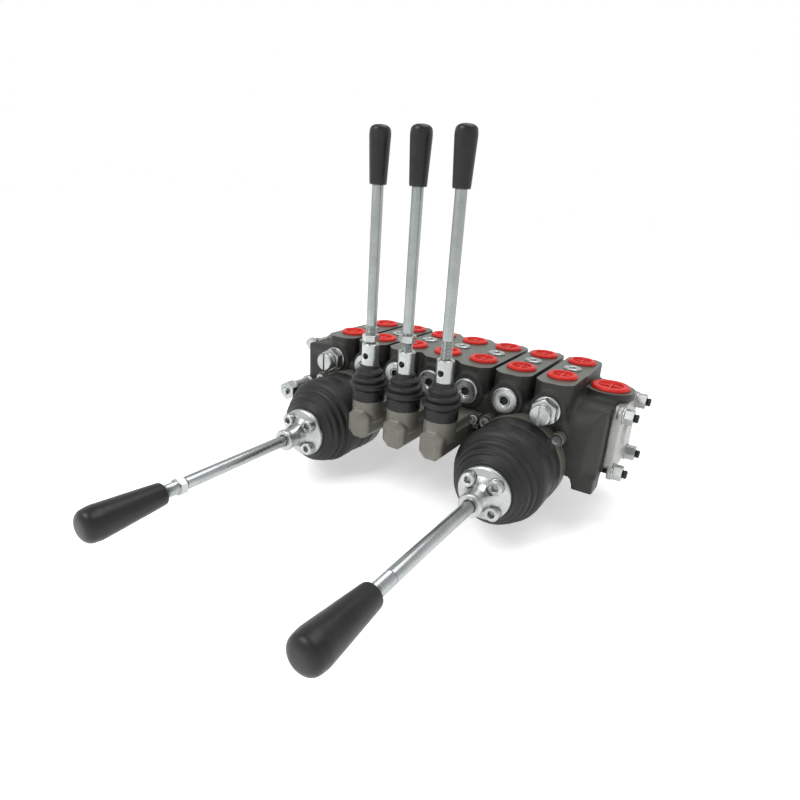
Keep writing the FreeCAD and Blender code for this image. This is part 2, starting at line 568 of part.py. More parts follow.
def lever_box(x):
    """Cast box with an octagonal nose, a square flange and a round tower for the lever."""
    bevel_y = NOSE_Y + NOSE_BEVEL
    barrel = plate(octagon(x, bevel_y, BOX_HALF_X, BOX_HALF_Z, BOX_CORNER),
                   BODY_FRONT - bevel_y, V(0, 1, 0))
    rims = [octagon(x, bevel_y, BOX_HALF_X, BOX_HALF_Z, BOX_CORNER),
            octagon(x, NOSE_Y, BOX_HALF_X - NOSE_BEVEL, BOX_HALF_Z - NOSE_BEVEL,
                    BOX_CORNER - NOSE_BEVEL * 0.5)]
    nose = Part.makeLoft([Part.makePolygon(r + [r[0]]) for r in rims], True, True)
    pad = plate(octagon(x, NOSE_Y - NOSE_PAD, BOX_HALF_X * 0.58, BOX_HALF_Z * 0.58,
                        BOX_CORNER * 0.58), NOSE_PAD + 1, V(0, 1, 0))
    tower = bar_z(TOWER_R, SPOOL_Z, TOWER_TOP, x, LEVER_Y)
    roof = SPOOL_Z + BOX_RISE + BOX_HALF_Z
    web = block(x - BOX_HALF_X + 2, x + BOX_HALF_X - 2, LEVER_Y, BODY_FRONT, roof - 2, roof + 3)
    ear = box_flange(FLANGE_HALF, SCREW_OFFSET - SCREW_HEAD_R - 5, FLANGE_HALF, x)
    skirt = box_flange(BOX_HALF_X + 1, -FLANGE_HALF, SCREW_OFFSET, x)
    solid = barrel.fuse([nose, pad, tower, web, ear, skirt]).removeSplitter()
    cavity = block(x - BOX_CAVITY_X, x + BOX_CAVITY_X, NOSE_Y + 4.5,
                   BODY_FRONT - FLANGE_THICK - 2, SPOOL_Z - 8, SPOOL_Z + BOX_HALF_Z - 3)
    shaft = bar_z(COLLAR_BORE_R, SPOOL_Z + 6, TOWER_TOP + 1, x, LEVER_Y)
    entry = bar_y(STEM_R + 1.0, BODY_FRONT - FLANGE_THICK - 3, BODY_FRONT + 1, x, SPOOL_Z)
    pin = bar_x(PIN_R, x - TOWER_R - 1, x + TOWER_R + 1, LEVER_Y, PIVOT_Z)
    pocket = bar_y(STEM_R + 0.7, NOSE_Y + 2.2, LEVER_Y, x, SPOOL_Z)
    face = BODY_FRONT - FLANGE_THICK
    holes = [bar_y(SCREW_R, face - 1, BODY_FRONT + 1, sx, sz) for sx, sz in box_screw_spots(x)]
    heads = [bar_y(SCREW_HEAD_R + 0.6, face - SCREW_HEAD - 3, face, sx, sz)
             for sx, sz in box_screw_spots(x)]
    return solid.cut([cavity, shaft, entry, pin, pocket] + holes + heads)


def box_flange(half_x, low, high, x):
    """One bar of the T-shaped flange; low and high are measured from the spool axis."""
    bar = block(x - half_x, x + half_x, BODY_FRONT - FLANGE_THICK, BODY_FRONT,
                SPOOL_Z + low, SPOOL_Z + high)
    edges = [e for e in bar.Edges if abs(e.tangentAt(e.FirstParameter).y) > 0.99]
    return bar.makeFillet(FLANGE_CORNER, edges)


def box_screw_spots(x):
    """Only the upper pair: the joystick housings reach under the outer lever boxes."""
    return [(sx, sz) for sx, sz in screw_spots(x, SPOOL_Z) if sz > SPOOL_Z]


def lever_box_screws():
    spots = [p for i in LEVER_SECTIONS for p in box_screw_spots(SECTION_X[i])]
    return [socket_screw(SCREW_R, SCREW_HEAD_R, SCREW_HEAD, FLANGE_THICK + SCREW_GRIP - 1,
                         x, BODY_FRONT - FLANGE_THICK, z) for x, z in spots]


def lever_collar(x):
    """Round black housing on the tower, with a groove that the boot snaps over."""
    top, rim = COLLAR_TOP, COLLAR_R
    return turned_z([(COLLAR_BORE_R, TOWER_TOP), (rim - 1, TOWER_TOP), (rim, TOWER_TOP + 1),
                     (rim, top - 3), (rim - 1.2, top - 2.4), (rim - 1.2, top),
                     (COLLAR_BORE_R, top)], x, LEVER_Y)


def lever_boot(x):
    """Rubber boot of two convolutions between the collar and the lever's holder."""
    low, high = COLLAR_TOP, HOLDER_Z[0]
    outside = [(17.2, low - 1.8), (18.0, low), (18.0, low + 6), (15.0, low + 8),
               (13.8, low + 8.6), (13.8, low + 12.6), (10.5, low + 14.2), (9.6, high)]
    inside = [(ARM_R + 0.15, high), (ARM_R + 0.15, high - 2), (9.0, high - 5),
              (11.6, low + 10), (12.4, low + 7), (15.6, low + 4.5), (15.6, low + 0.2),
              (14.8, low + 0.2), (14.8, low - 1.8)]
    return turned_z(outside + inside, x, LEVER_Y)


def lever_arm(x):
    """Forged arm: fork around the spool's neck, pivot boss and bored rod holder."""
    boss = bar_x(ARM_BOSS_R, x - FORK_OUTSIDE, x + FORK_OUTSIDE, LEVER_Y, PIVOT_Z)
    adds = [bar_z(ARM_R, PIVOT_Z, HOLDER_Z[0] + 1, x, LEVER_Y)]
    for side in (-1, 1):
        x0, x1 = sorted((x + side * FORK_INSIDE, x + side * FORK_OUTSIDE))
        adds.append(block(x0, x1, LEVER_Y - 2.4, LEVER_Y + 2.4, SPOOL_Z, PIVOT_Z))
        adds.append(bar_x(FORK_TIP_R, x0, x1, LEVER_Y, SPOOL_Z))
    z0, z1 = HOLDER_Z
    adds.append(turned_z([(0, z0), (HOLDER_R - 1, z0), (HOLDER_R, z0 + 1), (HOLDER_R, z1 - 1),
                          (HOLDER_R - 1, z1), (0, z1)], x, LEVER_Y))
    cuts = [bar_x(PIN_R + PIN_CLEARANCE, x - FORK_OUTSIDE - 1, x + FORK_OUTSIDE + 1,
                  LEVER_Y, PIVOT_Z),
            bar_z(ROD_R, z0 + 5, z1 + 1, x, LEVER_Y),
            bar_y(HOLDER_HOLE_R, LEVER_Y - HOLDER_R - 1, LEVER_Y + HOLDER_R + 1,
                  x, HOLDER_HOLE_Z)]
    return boss.multiFuse(adds).removeSplitter().cut(cuts)


def lever_rod(x):
    return turned_z([(0, ROD_FOOT_Z), (ROD_R - 0.8, ROD_FOOT_Z), (ROD_R, ROD_FOOT_Z + 0.8),
                     (ROD_R, ROD_TOP_Z), (0, ROD_TOP_Z)], x, LEVER_Y)


def lever_knob(x):
    low, high = KNOB_Z
    return turned_z([(ROD_R, low), (KNOB_FOOT_R - 0.8, low), (KNOB_FOOT_R, low + 1),
                     (KNOB_TOP_R, high - 9), (KNOB_TOP_R - 0.6, high - 4),
                     (KNOB_TOP_R - 3.0, high - 0.8), (0, high), (0, ROD_TOP_Z),
                     (ROD_R, ROD_TOP_Z)], x, LEVER_Y)


def lever_lock_nut(x, z):
    nut = hex_z(LOCK_NUT_FLATS, z, z + LOCK_NUT_THICK, x, LEVER_Y)
    return nut.cut(bar_z(ROD_R, z - 1, z + LOCK_NUT_THICK + 1, x, LEVER_Y))


# ---- Joysticks ----------------------------------------------------------------------------
def diagonal(x, sign):
    """Placement that turns a shape built along +X about the joint centre by 45 or 135 deg."""
    turn = FreeCAD.Rotation(V(0, 1, 0), -45 if sign > 0 else -135)
    return FreeCAD.Placement(V(x, JOY_Y, JOY_Z), turn)


def on_diagonal(shape, x, sign):
    moved = shape.copy()
    moved.Placement = diagonal(x, sign).multiply(shape.Placement)
    return moved


def joystick_housing(x):
    """Cast housing: round rim with two ears, spigot for the boot and the joint's post."""
    adds = [bar_y(HOUSING_SPIGOT_R, BODY_FRONT - 1, HOUSING_SPIGOT_END, x, HOUSING_Z)]
    adds += [bar_y(HOUSING_EAR_R, BODY_FRONT, HOUSING_EAR_END, sx, sz)
             for sx, sz in joystick_screw_spots(x) if sz > SPOOL_Z]
    solid = bar_y(HOUSING_R, BODY_FRONT, HOUSING_RIM_END, x, HOUSING_Z).multiFuse(adds)
    solid = solid.cut(bar_y(HOUSING_CAVITY_R, HOUSING_FLOOR, HOUSING_SPIGOT_END - 1,
                            x, HOUSING_Z))

    fork_base = JOY_Y + 10.0
    post = [bar_y(POST_R, HOUSING_FLOOR + 1, fork_base, x, JOY_Z),
            bar_y(POST_EAR_END, fork_base + 4, fork_base, x, JOY_Z)]
    for side in (-1, 1):
        ear_x = sorted((side * EAR_START, side * POST_EAR_END))
        arm = block(ear_x[0], ear_x[1], -4.5, 10.5, -4.5, 4.5)
        post.append(on_diagonal(arm, x, -1))
    solid = solid.multiFuse(post).removeSplitter()

    cuts = [on_diagonal(bar_x(CROSS_PIN_R + PIN_CLEARANCE, -16, 16, 0, 0), x, -1)]
    for dx in (-1, 1):
        section_x = x + dx * PITCH / 2
        cuts.append(bar_y(STEM_R + 1.0, BODY_FRONT + 1, HOUSING_FLOOR - 1, section_x, SPOOL_Z))
        cuts.append(bar_y(AUX_BOSS_R + 0.5, BODY_FRONT + 1, BODY_FRONT - AUX_BOSS - 0.5,
                          section_x, AUX_Z))
    for sx, sz in joystick_screw_spots(x):
        seat = joystick_screw_seat(sz)
        cuts.append(bar_y(SCREW_R, BODY_FRONT + 1, seat - 1, sx, sz))
        if sz > SPOOL_Z:
            cuts.append(bar_y(SCREW_HEAD_R + 0.6, seat, HOUSING_SPIGOT_END - 1, sx, sz))
    return solid.cut(cuts)


def joystick_screw_spots(x):
    """Two screws in the housing's ears and two on its floor."""
    return [(x + side * reach, SPOOL_Z + rise * SCREW_OFFSET) for side in (-1, 1)
            for reach, rise in ((PITCH / 2 + SCREW_OFFSET, 1), (HOUSING_LOW_REACH, -1))]


def joystick_screw_seat(z):
    return JOY_SCREW_SEAT if z > SPOOL_Z else HOUSING_FLOOR


def joystick_housing_screws():
    screws = []
    for pair in JOYSTICK_PAIRS:
        for x, z in joystick_screw_spots(stick_x(pair)):
            seat = joystick_screw_seat(z)
            grip = BODY_FRONT - seat + SCREW_GRIP - 1
            screws.append(socket_screw(SCREW_R, SCREW_HEAD_R, SCREW_HEAD, grip, x, seat, z))
    return screws


def ring_loft(rings, x):
    """Solid through circles across Y, each given as (radius, y, height of its centre)."""
    wires = [Part.Wire([Part.makeCircle(r, V(x, y, z), V(0, 1, 0))]) for r, y, z in rings]
    return Part.makeLoft(wires, True, True)


def joystick_boot(x):
    """Large rubber boot: a deep base round the housing, a crease, a fold and a narrow mouth."""
    base, fit = HOUSING_RIM_END - 0.3, HOUSING_SPIGOT_R + 0.2
    high, low = HOUSING_Z, JOY_Z
    hub, mouth = HUB_PLATE[1], CAP_FLANGE_Y[0]
    mid = (high + low) / 2
    rim = HOUSING_R - 0.8
    y = JOY_Y
    outside = [(rim, base, high), (rim, y - 1.5, high), (rim - 1.2, y - 3.0, high),
               (rim, y - 4.5, high), (rim, y - 18.0, high), (rim - 2.5, y - 21.5, high),
               (36.5, y - 23.5, mid + 1), (36.5, y - 25.0, mid + 1), (39.0, y - 27.5, mid),
               (38.5, y - 33.0, mid), (35.0, y - 38.0, low + 1), (30.0, y - 42.5, low),
               (CAP_FLANGE_R + 0.6, mouth, low)]
    inside = [(fit, base + 1, high), (fit, y - 17.0, high), (34.3, y - 22.0, mid + 1),
              (34.3, y - 25.5, mid + 1), (36.6, y - 28.0, mid), (36.2, y - 32.5, mid),
              (32.6, y - 37.0, low + 1), (HUB_R + 1.3, y - 41.5, low), (HUB_R + 1.3, hub, low)]
    boot = ring_loft(outside, x).cut(ring_loft(inside, x))
    return boot.cut(bar_y(HUB_R - 1.9, hub + 1, mouth - 1, x, low))


def joystick_cross(x):
    """Spider of the universal joint: a block with four pins on the two diagonals."""
    h = CROSS_HALF
    centre = on_diagonal(block(-h, h, -h, h, -h, h), x, 1)
    pins = [on_diagonal(bar_x(CROSS_PIN_R, -CROSS_REACH, CROSS_REACH, 0, 0), x, s)
            for s in (-1, 1)]
    return centre.multiFuse(pins).removeSplitter()


def swash_plate(x):
    """Plate whose two slots straddle the spool necks, carried on a hollow cone and hub."""
    y = JOY_Y
    h = SWASH_HALF
    y0, y1 = HUB_PLATE
    face = CAP_FLANGE_Y[0]
    profile = [(SWASH_R, y + h), (SWASH_R, y - h), (19.5, y - h), (17.0, y - 12), (11.0, y - 20),
               (11.0, y0 + 2), (HUB_R, y0), (HUB_R, y1), (21.0, y1), (21.0, face), (0, face),
               (0, y - 15.6), (7.0, y - 15.6), (14.5, y - 11), (SWASH_BORE_R, y - h),
               (SWASH_BORE_R, y + h)]
    solid = turned_y(profile, x, JOY_Z)
    ears = []
    for side in (-1, 1):
        ear_x = sorted((side * EAR_START, side * (SWASH_BORE_R + 1.5)))
        ears.append(on_diagonal(block(ear_x[0], ear_x[1], -4.5, 4.5, -4.5, 4.5), x, 1))
    solid = solid.multiFuse(ears).removeSplitter()
    cuts = [on_diagonal(bar_x(CROSS_PIN_R + PIN_CLEARANCE, -15, 15, 0, 0), x, 1)]
    radius = JOY_DROP * math.sqrt(2)
    for sign in (-1, 1):
        slot = block(radius, SWASH_R + 6, -h - 1, h + 1, -SWASH_SLOT_HALF, SWASH_SLOT_HALF)
        round_end = bar_y(SWASH_SLOT_HALF, -h - 1, h + 1, radius, 0)
        cuts += [on_diagonal(s, x, sign) for s in (slot, round_end)]
    for sx, sz in cap_screw_spots(x):
        cuts.append(bar_y(CAP_SCREW_R, face - 1, y0 + 1, sx, sz))
    cuts.append(block(x - SWASH_R, x + SWASH_R, y - h - 1, y + h + 1,
                      JOY_Z - SWASH_R - 1, JOY_Z - SWASH_FLAT))
    return solid.cut(cuts)


def cap_screw_spots(x):
    o = CAP_SCREW_OFFSET
    return [(x + dx * o, JOY_Z + dz * o) for dx in (-1, 1) for dz in (-1, 1)]


def joystick_cap(x):
    """Turned flange that clamps the boot's mouth and holds the stick in its neck."""
    y0, y1 = CAP_FLANGE_Y
    r = CAP_FLANGE_R
    end = STICK_NECK_Y
    profile = [(0, y0), (r, y0), (r, y1 + 2), (r - 2, y1), (r - 8, y1 - 4), (11.5, y1 - 7),
               (9.6, y1 - 12), (9.2, end + 6), (10.2, end + 5), (10.2, end + 1), (9.2, end),
               (0, end)]
    solid = turned_y(profile, x, JOY_Z)
    cuts = [bar_y(STICK_ROD_R, end - 1, end + 14, x, JOY_Z)]
    for sx, sz in cap_screw_spots(x):
        cuts.append(bar_y(CAP_SCREW_HEAD_R + 0.4, y1, end, sx, sz))
        cuts.append(bar_y(CAP_SCREW_R, y0 + 1, y1 - 1, sx, sz))
    return solid.cut(cuts)


def joystick_cap_screws(x):
    y = CAP_FLANGE_Y[1]
    return [socket_screw(CAP_SCREW_R, CAP_SCREW_HEAD_R, 2 * CAP_SCREW_R, HUB_PLATE[0] - y - 1,
                         sx, y, sz) for sx, sz in cap_screw_spots(x)]


def joystick_rod(x):
    foot = STICK_NECK_Y + 14
    return bar_y(STICK_ROD_R, foot, STICK_KNOB_Y[1] + 25, x, JOY_Z)


def joystick_knob(x):
    y0, y1 = STICK_KNOB_Y
    small, large = STICK_KNOB_R
    bore_end = y1 + 25
    return turned_y([(STICK_ROD_R, y0), (small - 1, y0), (small, y0 - 1.5), (large, y1 + 13),
                     (large - 0.8, y1 + 7), (large - 3.5, y1 + 2.5), (large - 7.5, y1 + 0.4),
                     (0, y1), (0, bore_end), (STICK_ROD_R, bore_end)], x, JOY_Z)


def joystick_lock_nut(x):
    y = STICK_NUT_Y
    nut = hex_y(LOCK_NUT_FLATS, y - LOCK_NUT_THICK, y, x, JOY_Z)
    return nut.cut(bar_y(STICK_ROD_R, y - LOCK_NUT_THICK - 1, y + 1, x, JOY_Z))


# ---- Assembly -----------------------------------------------------------------------------
def base_nodes():
    reliefs = [relief_cartridge(SECTION_X[i]) for i in (0, -1)]
    hex_face = BODY_FRONT - AUX_BOSS - 12.0
    nut_face = BODY_FRONT - MAIN_RELIEF_LENGTH - 9
    adjusters = [relief_adjuster(SECTION_X[i], hex_face, AUX_Z, 9.0, 5.0) for i in (0, -1)]
    adjusters.append(relief_adjuster(MAIN_RELIEF_X, nut_face, SPOOL_Z, 5.0, 6.0))
    fronts = [blanking_plug(x, True) for x in SECTION_X[1:-1]]
    rears = [blanking_plug(x, False) for x in SECTION_X]
    stud_spots = [(s, y, z) for s in (-1, 1) for y in (-STUD_Y, STUD_Y) for z in STUD_Z]
    springs_from = BODY_REAR + SEAT_THICK
    levers = [SECTION_X[i] for i in LEVER_SECTIONS]
    work_plugs = [plastic_plug(PORT_PLUG_R, PORT_R - PLUG_GAP, x, y, PORT_TOP)
                  for x in SECTION_X for y in (-PORT_Y, PORT_Y)]
    nodes = {
        "valve_body": valve_body(),
        "work_port_plugs": group(work_plugs),
        "inlet_plug": plastic_plug(INLET_PLUG_R, INLET_R - PLUG_GAP, INLET_X, 0, INLET_TOP),
        "tank_plug": plastic_plug(TANK_PLUG_R, TANK_R - PLUG_GAP, TANK_X, 0, OUTLET_TOP),
        "load_check_plugs": group([check_plug(x) for x in SECTION_X]),
        "load_check_poppets": group([check_poppet(x) for x in SECTION_X]),
        "load_check_springs": group([check_spring(x) for x in SECTION_X]),
        "blanking_plugs": group(fronts + rears),
        "relief_cartridges": group(reliefs + [main_relief()]),
        "relief_adjusters": group(adjusters),
        "inlet_cover": end_cover(1),
        "outlet_cover": end_cover(-1),
        "cover_gaskets": group([cover_gasket(s) for s in (-1, 1)]),
        "cover_studs": group([cover_stud(*spot) for spot in stud_spots]),
        "cover_nuts": group([cover_nut(*spot) for spot in stud_spots]),
        "spool_seals": group([spool_seal(x, y) for x in SECTION_X
                              for y in (SEAL_FRONT_Y, SEAL_REAR_Y)]),
        "spring_caps": group([spring_cap(x) for x in SECTION_X]),
        "spring_cap_screws": group(spring_cap_screws()),
        "centring_springs": group([coil(SPRING_R, SPRING_WIRE_R, 5, springs_from,
                                        springs_from + SPRING_LENGTH, x, SPOOL_Z)
                                   for x in SECTION_X]),
        "spring_seats": group([spring_seat(x, y) for x in SECTION_X
                               for y in (BODY_REAR, springs_from + SPRING_LENGTH)]),
        "lever_boxes": group([lever_box(x) for x in levers]),
        "lever_box_screws": group(lever_box_screws()),
        "lever_collars": group([lever_collar(x) for x in levers]),
        "lever_pivot_pins": group([bar_x(PIN_R, x - TOWER_R + 1, x + TOWER_R - 1, LEVER_Y,
                                         PIVOT_Z) for x in levers]),
        "lever_boots": group([lever_boot(x) for x in levers]),
        "joystick_housings": group([joystick_housing(stick_x(p)) for p in JOYSTICK_PAIRS]),
        "joystick_housing_screws": group(joystick_housing_screws()),
        "joystick_boots": group([joystick_boot(stick_x(p)) for p in JOYSTICK_PAIRS]),
    }
    return nodes


def moving_nodes():
    nodes = {}
    for i, x in enumerate(SECTION_X):
        if i in LEVER_SECTIONS:
            nodes[f"spool_{i + 1}"] = spool(x, LEVER_Y, FORK_GAP)
        else:
            nodes[f"spool_{i + 1}"] = spool(x, JOY_Y, JOY_FORK_GAP)
    for number, i in enumerate(LEVER_SECTIONS):
        x = SECTION_X[i]
        nodes[f"lever_arm_{number + 1}"] = lever_arm(x)
        nodes[f"lever_rod_{number + 1}"] = lever_rod(x)
        nodes[f"lever_knob_{number + 1}"] = lever_knob(x)
        nodes[f"lever_lock_nut_{number + 1}"] = lever_lock_nut(x, LOCK_NUT_Z[number])
    for side, pair in zip(("left", "right"), JOYSTICK_PAIRS):
        x = stick_x(pair)
        nodes[f"joint_cross_{side}"] = joystick_cross(x)
        nodes[f"swash_plate_{side}"] = swash_plate(x)
        nodes[f"joystick_cap_{side}"] = joystick_cap(x)
        nodes[f"joystick_cap_screws_{side}"] = group(joystick_cap_screws(x))
        nodes[f"joystick_rod_{side}"] = joystick_rod(x)
        nodes[f"joystick_knob_{side}"] = joystick_knob(x)
    nodes["joystick_lock_nut"] = joystick_lock_nut(stick_x(JOYSTICK_PAIRS[0]))
    return nodes


def main():
    os.makedirs("parts", exist_ok=True)
    for name, shape in {**base_nodes(), **moving_nodes()}.items():
        shape.exportStep(f"parts/{name}.step")


main()
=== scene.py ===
import json
import math

import bpy
from mathutils import Matrix, Vector


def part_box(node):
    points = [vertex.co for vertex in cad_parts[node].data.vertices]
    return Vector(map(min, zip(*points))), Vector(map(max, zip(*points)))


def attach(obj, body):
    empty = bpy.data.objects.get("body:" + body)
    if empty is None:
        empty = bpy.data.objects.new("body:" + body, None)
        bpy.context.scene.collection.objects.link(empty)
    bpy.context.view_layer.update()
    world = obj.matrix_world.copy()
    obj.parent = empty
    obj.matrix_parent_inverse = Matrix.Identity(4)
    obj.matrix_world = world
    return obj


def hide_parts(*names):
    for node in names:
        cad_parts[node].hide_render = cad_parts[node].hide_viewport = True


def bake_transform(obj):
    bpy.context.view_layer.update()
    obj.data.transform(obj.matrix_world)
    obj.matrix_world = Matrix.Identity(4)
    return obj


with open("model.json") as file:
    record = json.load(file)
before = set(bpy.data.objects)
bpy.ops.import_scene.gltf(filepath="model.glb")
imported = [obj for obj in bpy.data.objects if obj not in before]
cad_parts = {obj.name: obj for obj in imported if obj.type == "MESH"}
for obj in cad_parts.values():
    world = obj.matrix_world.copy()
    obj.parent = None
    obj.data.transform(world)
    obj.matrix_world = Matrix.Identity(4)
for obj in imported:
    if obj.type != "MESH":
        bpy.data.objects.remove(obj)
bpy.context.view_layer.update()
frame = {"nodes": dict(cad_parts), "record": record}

MM = 0.001
POLE = 0.002                  # radius of a ring that closes to a point


def node_box(node):
    """A CAD node's lowest and highest corners in millimetres."""
    return [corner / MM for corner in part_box(node)]


def middle(node):
    low, high = node_box(node)
    return (low + high) / 2


SPOOL_X = [middle(f"spool_{i}").x for i in range(1, 8)]
SPOOL_Z = middle("spool_1").z
LEVER_X = [middle(f"lever_rod_{i}").x for i in (1, 2, 3)]
LEVER_Y = middle("lever_rod_1").y
SIDES = {"left": middle("joystick_rod_left"), "right": middle("joystick_rod_right")}
PORT_TOP = node_box("valve_body")[1].z
BODY_LOW, BODY_HIGH = node_box("valve_body")
AUX_BOSS = 3.0                # the bosses stand proud of the front and rear faces
BODY_FRONT = BODY_LOW.y + AUX_BOSS
BODY_REAR = BODY_HIGH.y - AUX_BOSS
UNDERSIDE = 10.0
INLET_TOP, OUTLET_TOP = 84.0, 78.0
COVER_TOP = 76.8              # the port bosses reach over the end covers above this height
FOOT_HOLES = [(sx * 164, sy * 44, 0) for sx in (-1, 1) for sy in (-1, 1)]
END_X = node_box("cover_gaskets")[1].x - 1.0
PORT_Y = 32.5
AUX_Z = middle("blanking_plugs").z
INLET_X = middle("inlet_plug").x
TANK_X = middle("tank_plug").x
MAIN_X = -(END_X - 10)


# ---- Modelling helpers --------------------------------------------------------------------
def select_only(*objects):
    bpy.ops.object.select_all(action="DESELECT")
    for obj in objects:
        obj.select_set(True)
    bpy.context.view_layer.objects.active = objects[0]


def settle(obj):
    """Puts the object's place, turn and scale into its mesh."""
    select_only(obj)
    bpy.ops.object.transform_apply(location=True, rotation=True, scale=True)
    return obj


TURNS = {"z": (0, 0, 0), "-z": (math.pi, 0, 0), "y": (-math.pi / 2, 0, 0),
         "-y": (math.pi / 2, 0, 0), "x": (0, math.pi / 2, 0), "-x": (0, -math.pi / 2, 0)}


def place(obj, at, along="z"):
    """Turns a shape made along Z to another axis and moves it to its spot."""
    obj.rotation_euler = TURNS[along]
    obj.location = Vector(at) * MM
    return settle(obj)


def remove(obj):
    bpy.data.objects.remove(obj)


def apply_modifier(obj, kind, **settings):
    select_only(obj)
    modifier = obj.modifiers.new(kind.title(), kind)
    for key, value in settings.items():
        setattr(modifier, key, value)
    bpy.ops.object.modifier_apply(modifier=modifier.name)
    return obj


def combine(obj, tool, operation):
    apply_modifier(obj, "BOOLEAN", operation=operation, object=tool, solver="EXACT")
    remove(tool)
    return obj


def join(name, parts):
    select_only(*parts)
    if len(parts) > 1:
        bpy.ops.object.join()
    parts[0].name = name
    parts[0].data.name = name
    return parts[0]


def copies(name, obj, spots):
    """The finished shape at each spot, joined into one piece. The shape itself is used up."""
    made = []
    for spot in spots:
        one = obj.copy()
        one.data = obj.data.copy()
        bpy.context.scene.collection.objects.link(one)
        made.append(place(one, spot))
    remove(obj)
    return join(name, made)


def block(x, y, z):
    """Box between three (low, high) pairs."""
    low, high = Vector((x[0], y[0], z[0])), Vector((x[1], y[1], z[1]))
    bpy.ops.object.select_all(action="DESELECT")
    bpy.ops.mesh.primitive_cube_add(size=1, location=(low + high) / 2 * MM,
                                    scale=(high - low) * MM)
    return settle(bpy.context.object)


def rod(radius, start, end, at, along="z", sides=64):
    bpy.ops.object.select_all(action="DESELECT")
    bpy.ops.mesh.primitive_cylinder_add(vertices=sides, radius=radius * MM,
                                        depth=(end - start) * MM,
                                        location=(0, 0, (start + end) / 2 * MM))
    return place(settle(bpy.context.object), at, along)


def eased(profile, size, steps=3):
    """The profile with each corner rounded by at most that size."""
    result = [profile[0]]
    for before, corner, after in zip(profile, profile[1:], profile[2:]):
        here = Vector(corner)
        back, on = Vector(before) - here, Vector(after) - here
        start = here + back.normalized() * min(size, back.length * 0.45)
        end = here + on.normalized() * min(size, on.length * 0.45)
        for i in range(steps + 1):
            t = i / steps
            result.append(tuple(start * (1 - t) ** 2 + here * 2 * t * (1 - t) + end * t * t))
    return result + [profile[-1]]


def turned(profile, at=(0, 0, 0), along="z", sides=64):
    """Lathe shape: a ring of edges, extruded and scaled from point to point of its profile.

    The profile holds (radius, height) pairs; it starts and ends on the axis, or closes."""
    points = [(max(r, POLE), h) for r, h in profile]
    radius, height = points[0]
    bpy.ops.object.select_all(action="DESELECT")
    bpy.ops.mesh.primitive_circle_add(vertices=sides, radius=radius * MM,
                                      location=(0, 0, height * MM))
    obj = settle(bpy.context.object)
    bpy.ops.object.mode_set(mode="EDIT")
    bpy.ops.mesh.select_mode(type="VERT")
    bpy.ops.mesh.select_all(action="SELECT")
    for r, h in points[1:]:
        rise = (0, 0, (h - height) * MM)
        bpy.ops.mesh.extrude_region_move(TRANSFORM_OT_translate={"value": rise})
        bpy.ops.transform.resize(value=(r / radius, r / radius, 1),
                                 center_override=(0, 0, h * MM))
        radius, height = r, h
    bpy.ops.mesh.select_all(action="SELECT")
    bpy.ops.mesh.remove_doubles(threshold=3 * POLE * MM)
    bpy.ops.mesh.normals_make_consistent(inside=False)
    bpy.ops.object.mode_set(mode="OBJECT")
    return place(obj, at, along)


def smooth(obj, angle=35):
    select_only(obj)
    bpy.ops.object.shade_smooth_by_angle(angle=math.radians(angle))
    return obj


def pick_edges(obj, test):
    """Goes into edit mode with only the edges chosen that test accepts (two points in mm)."""
    select_only(obj)
    bpy.ops.object.mode_set(mode="EDIT")
    bpy.ops.mesh.select_mode(type="EDGE")
    bpy.ops.mesh.select_all(action="DESELECT")
    bpy.ops.object.mode_set(mode="OBJECT")
    points = [v.co / MM for v in obj.data.vertices]
    for edge in obj.data.edges:
        a, b = edge.vertices
        edge.select = bool(test(points[a], points[b]))
    bpy.ops.object.mode_set(mode="EDIT")


def bevel_edges(obj, test, width, segments=1):
    pick_edges(obj, test)
    bpy.ops.mesh.bevel(offset=width * MM, segments=segments)
    bpy.ops.object.mode_set(mode="OBJECT")
    return obj


def face_off(obj, at, normal):
    """Machines a flat face: clears what stands beyond the plane and closes the cut."""
    select_only(obj)
    bpy.ops.object.mode_set(mode="EDIT")
    bpy.ops.mesh.select_all(action="SELECT")
    bpy.ops.mesh.bisect(plane_co=Vector(at) * MM, plane_no=normal, use_fill=True,
                        clear_outer=True, threshold=1e-6)
    bpy.ops.object.mode_set(mode="OBJECT")
    return obj


def cast(name, lumps, voxel, rounds):
    """One casting from overlapping lumps: a single skin with the soft corners of a mould."""
    obj = join(name, lumps)
    apply_modifier(obj, "REMESH", mode="VOXEL", voxel_size=voxel * MM)
    apply_modifier(obj, "SMOOTH", factor=0.5, iterations=rounds)
    return obj


def hex_bar(flats, height, chamfer=0.06, sides=6):
    """Hexagon along Z from 0 to height, its corners turned off at both ends."""
    obj = rod(flats / math.sqrt(3), 0, height, (0, 0, 0), "z", sides)
    inner, outer = flats * (0.5 - chamfer * 0.2), flats * 0.62
    slope = (outer - inner) * 0.55
    shape = turned([(0, 0), (inner, 0), (outer, slope), (outer, height - slope),
                    (inner, height), (0, height)])
    return combine(obj, shape, "INTERSECT")


def finish_piece(obj, look, body, *nodes, slot=None):
    """Gives a piece its material, the body that it rides on and the nodes that it stands for."""
    if look is not None:
        obj.data.materials.clear()
        obj.data.materials.append(look)
    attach(obj, body)
    if nodes:
        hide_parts(*nodes)
    return obj


# ---- Material building --------------------------------------------------------------------
def add_node(tree, kind, inputs=None, **settings):
    """New shader node; each input is a value, or a socket to link from."""
    made = tree.nodes.new(kind)
    for key, value in settings.items():
        setattr(made, key, value)
    for key, value in (inputs or {}).items():
        if isinstance(value, bpy.types.NodeSocket):
            tree.links.new(value, made.inputs[key])
        else:
            made.inputs[key].default_value = value
    return made


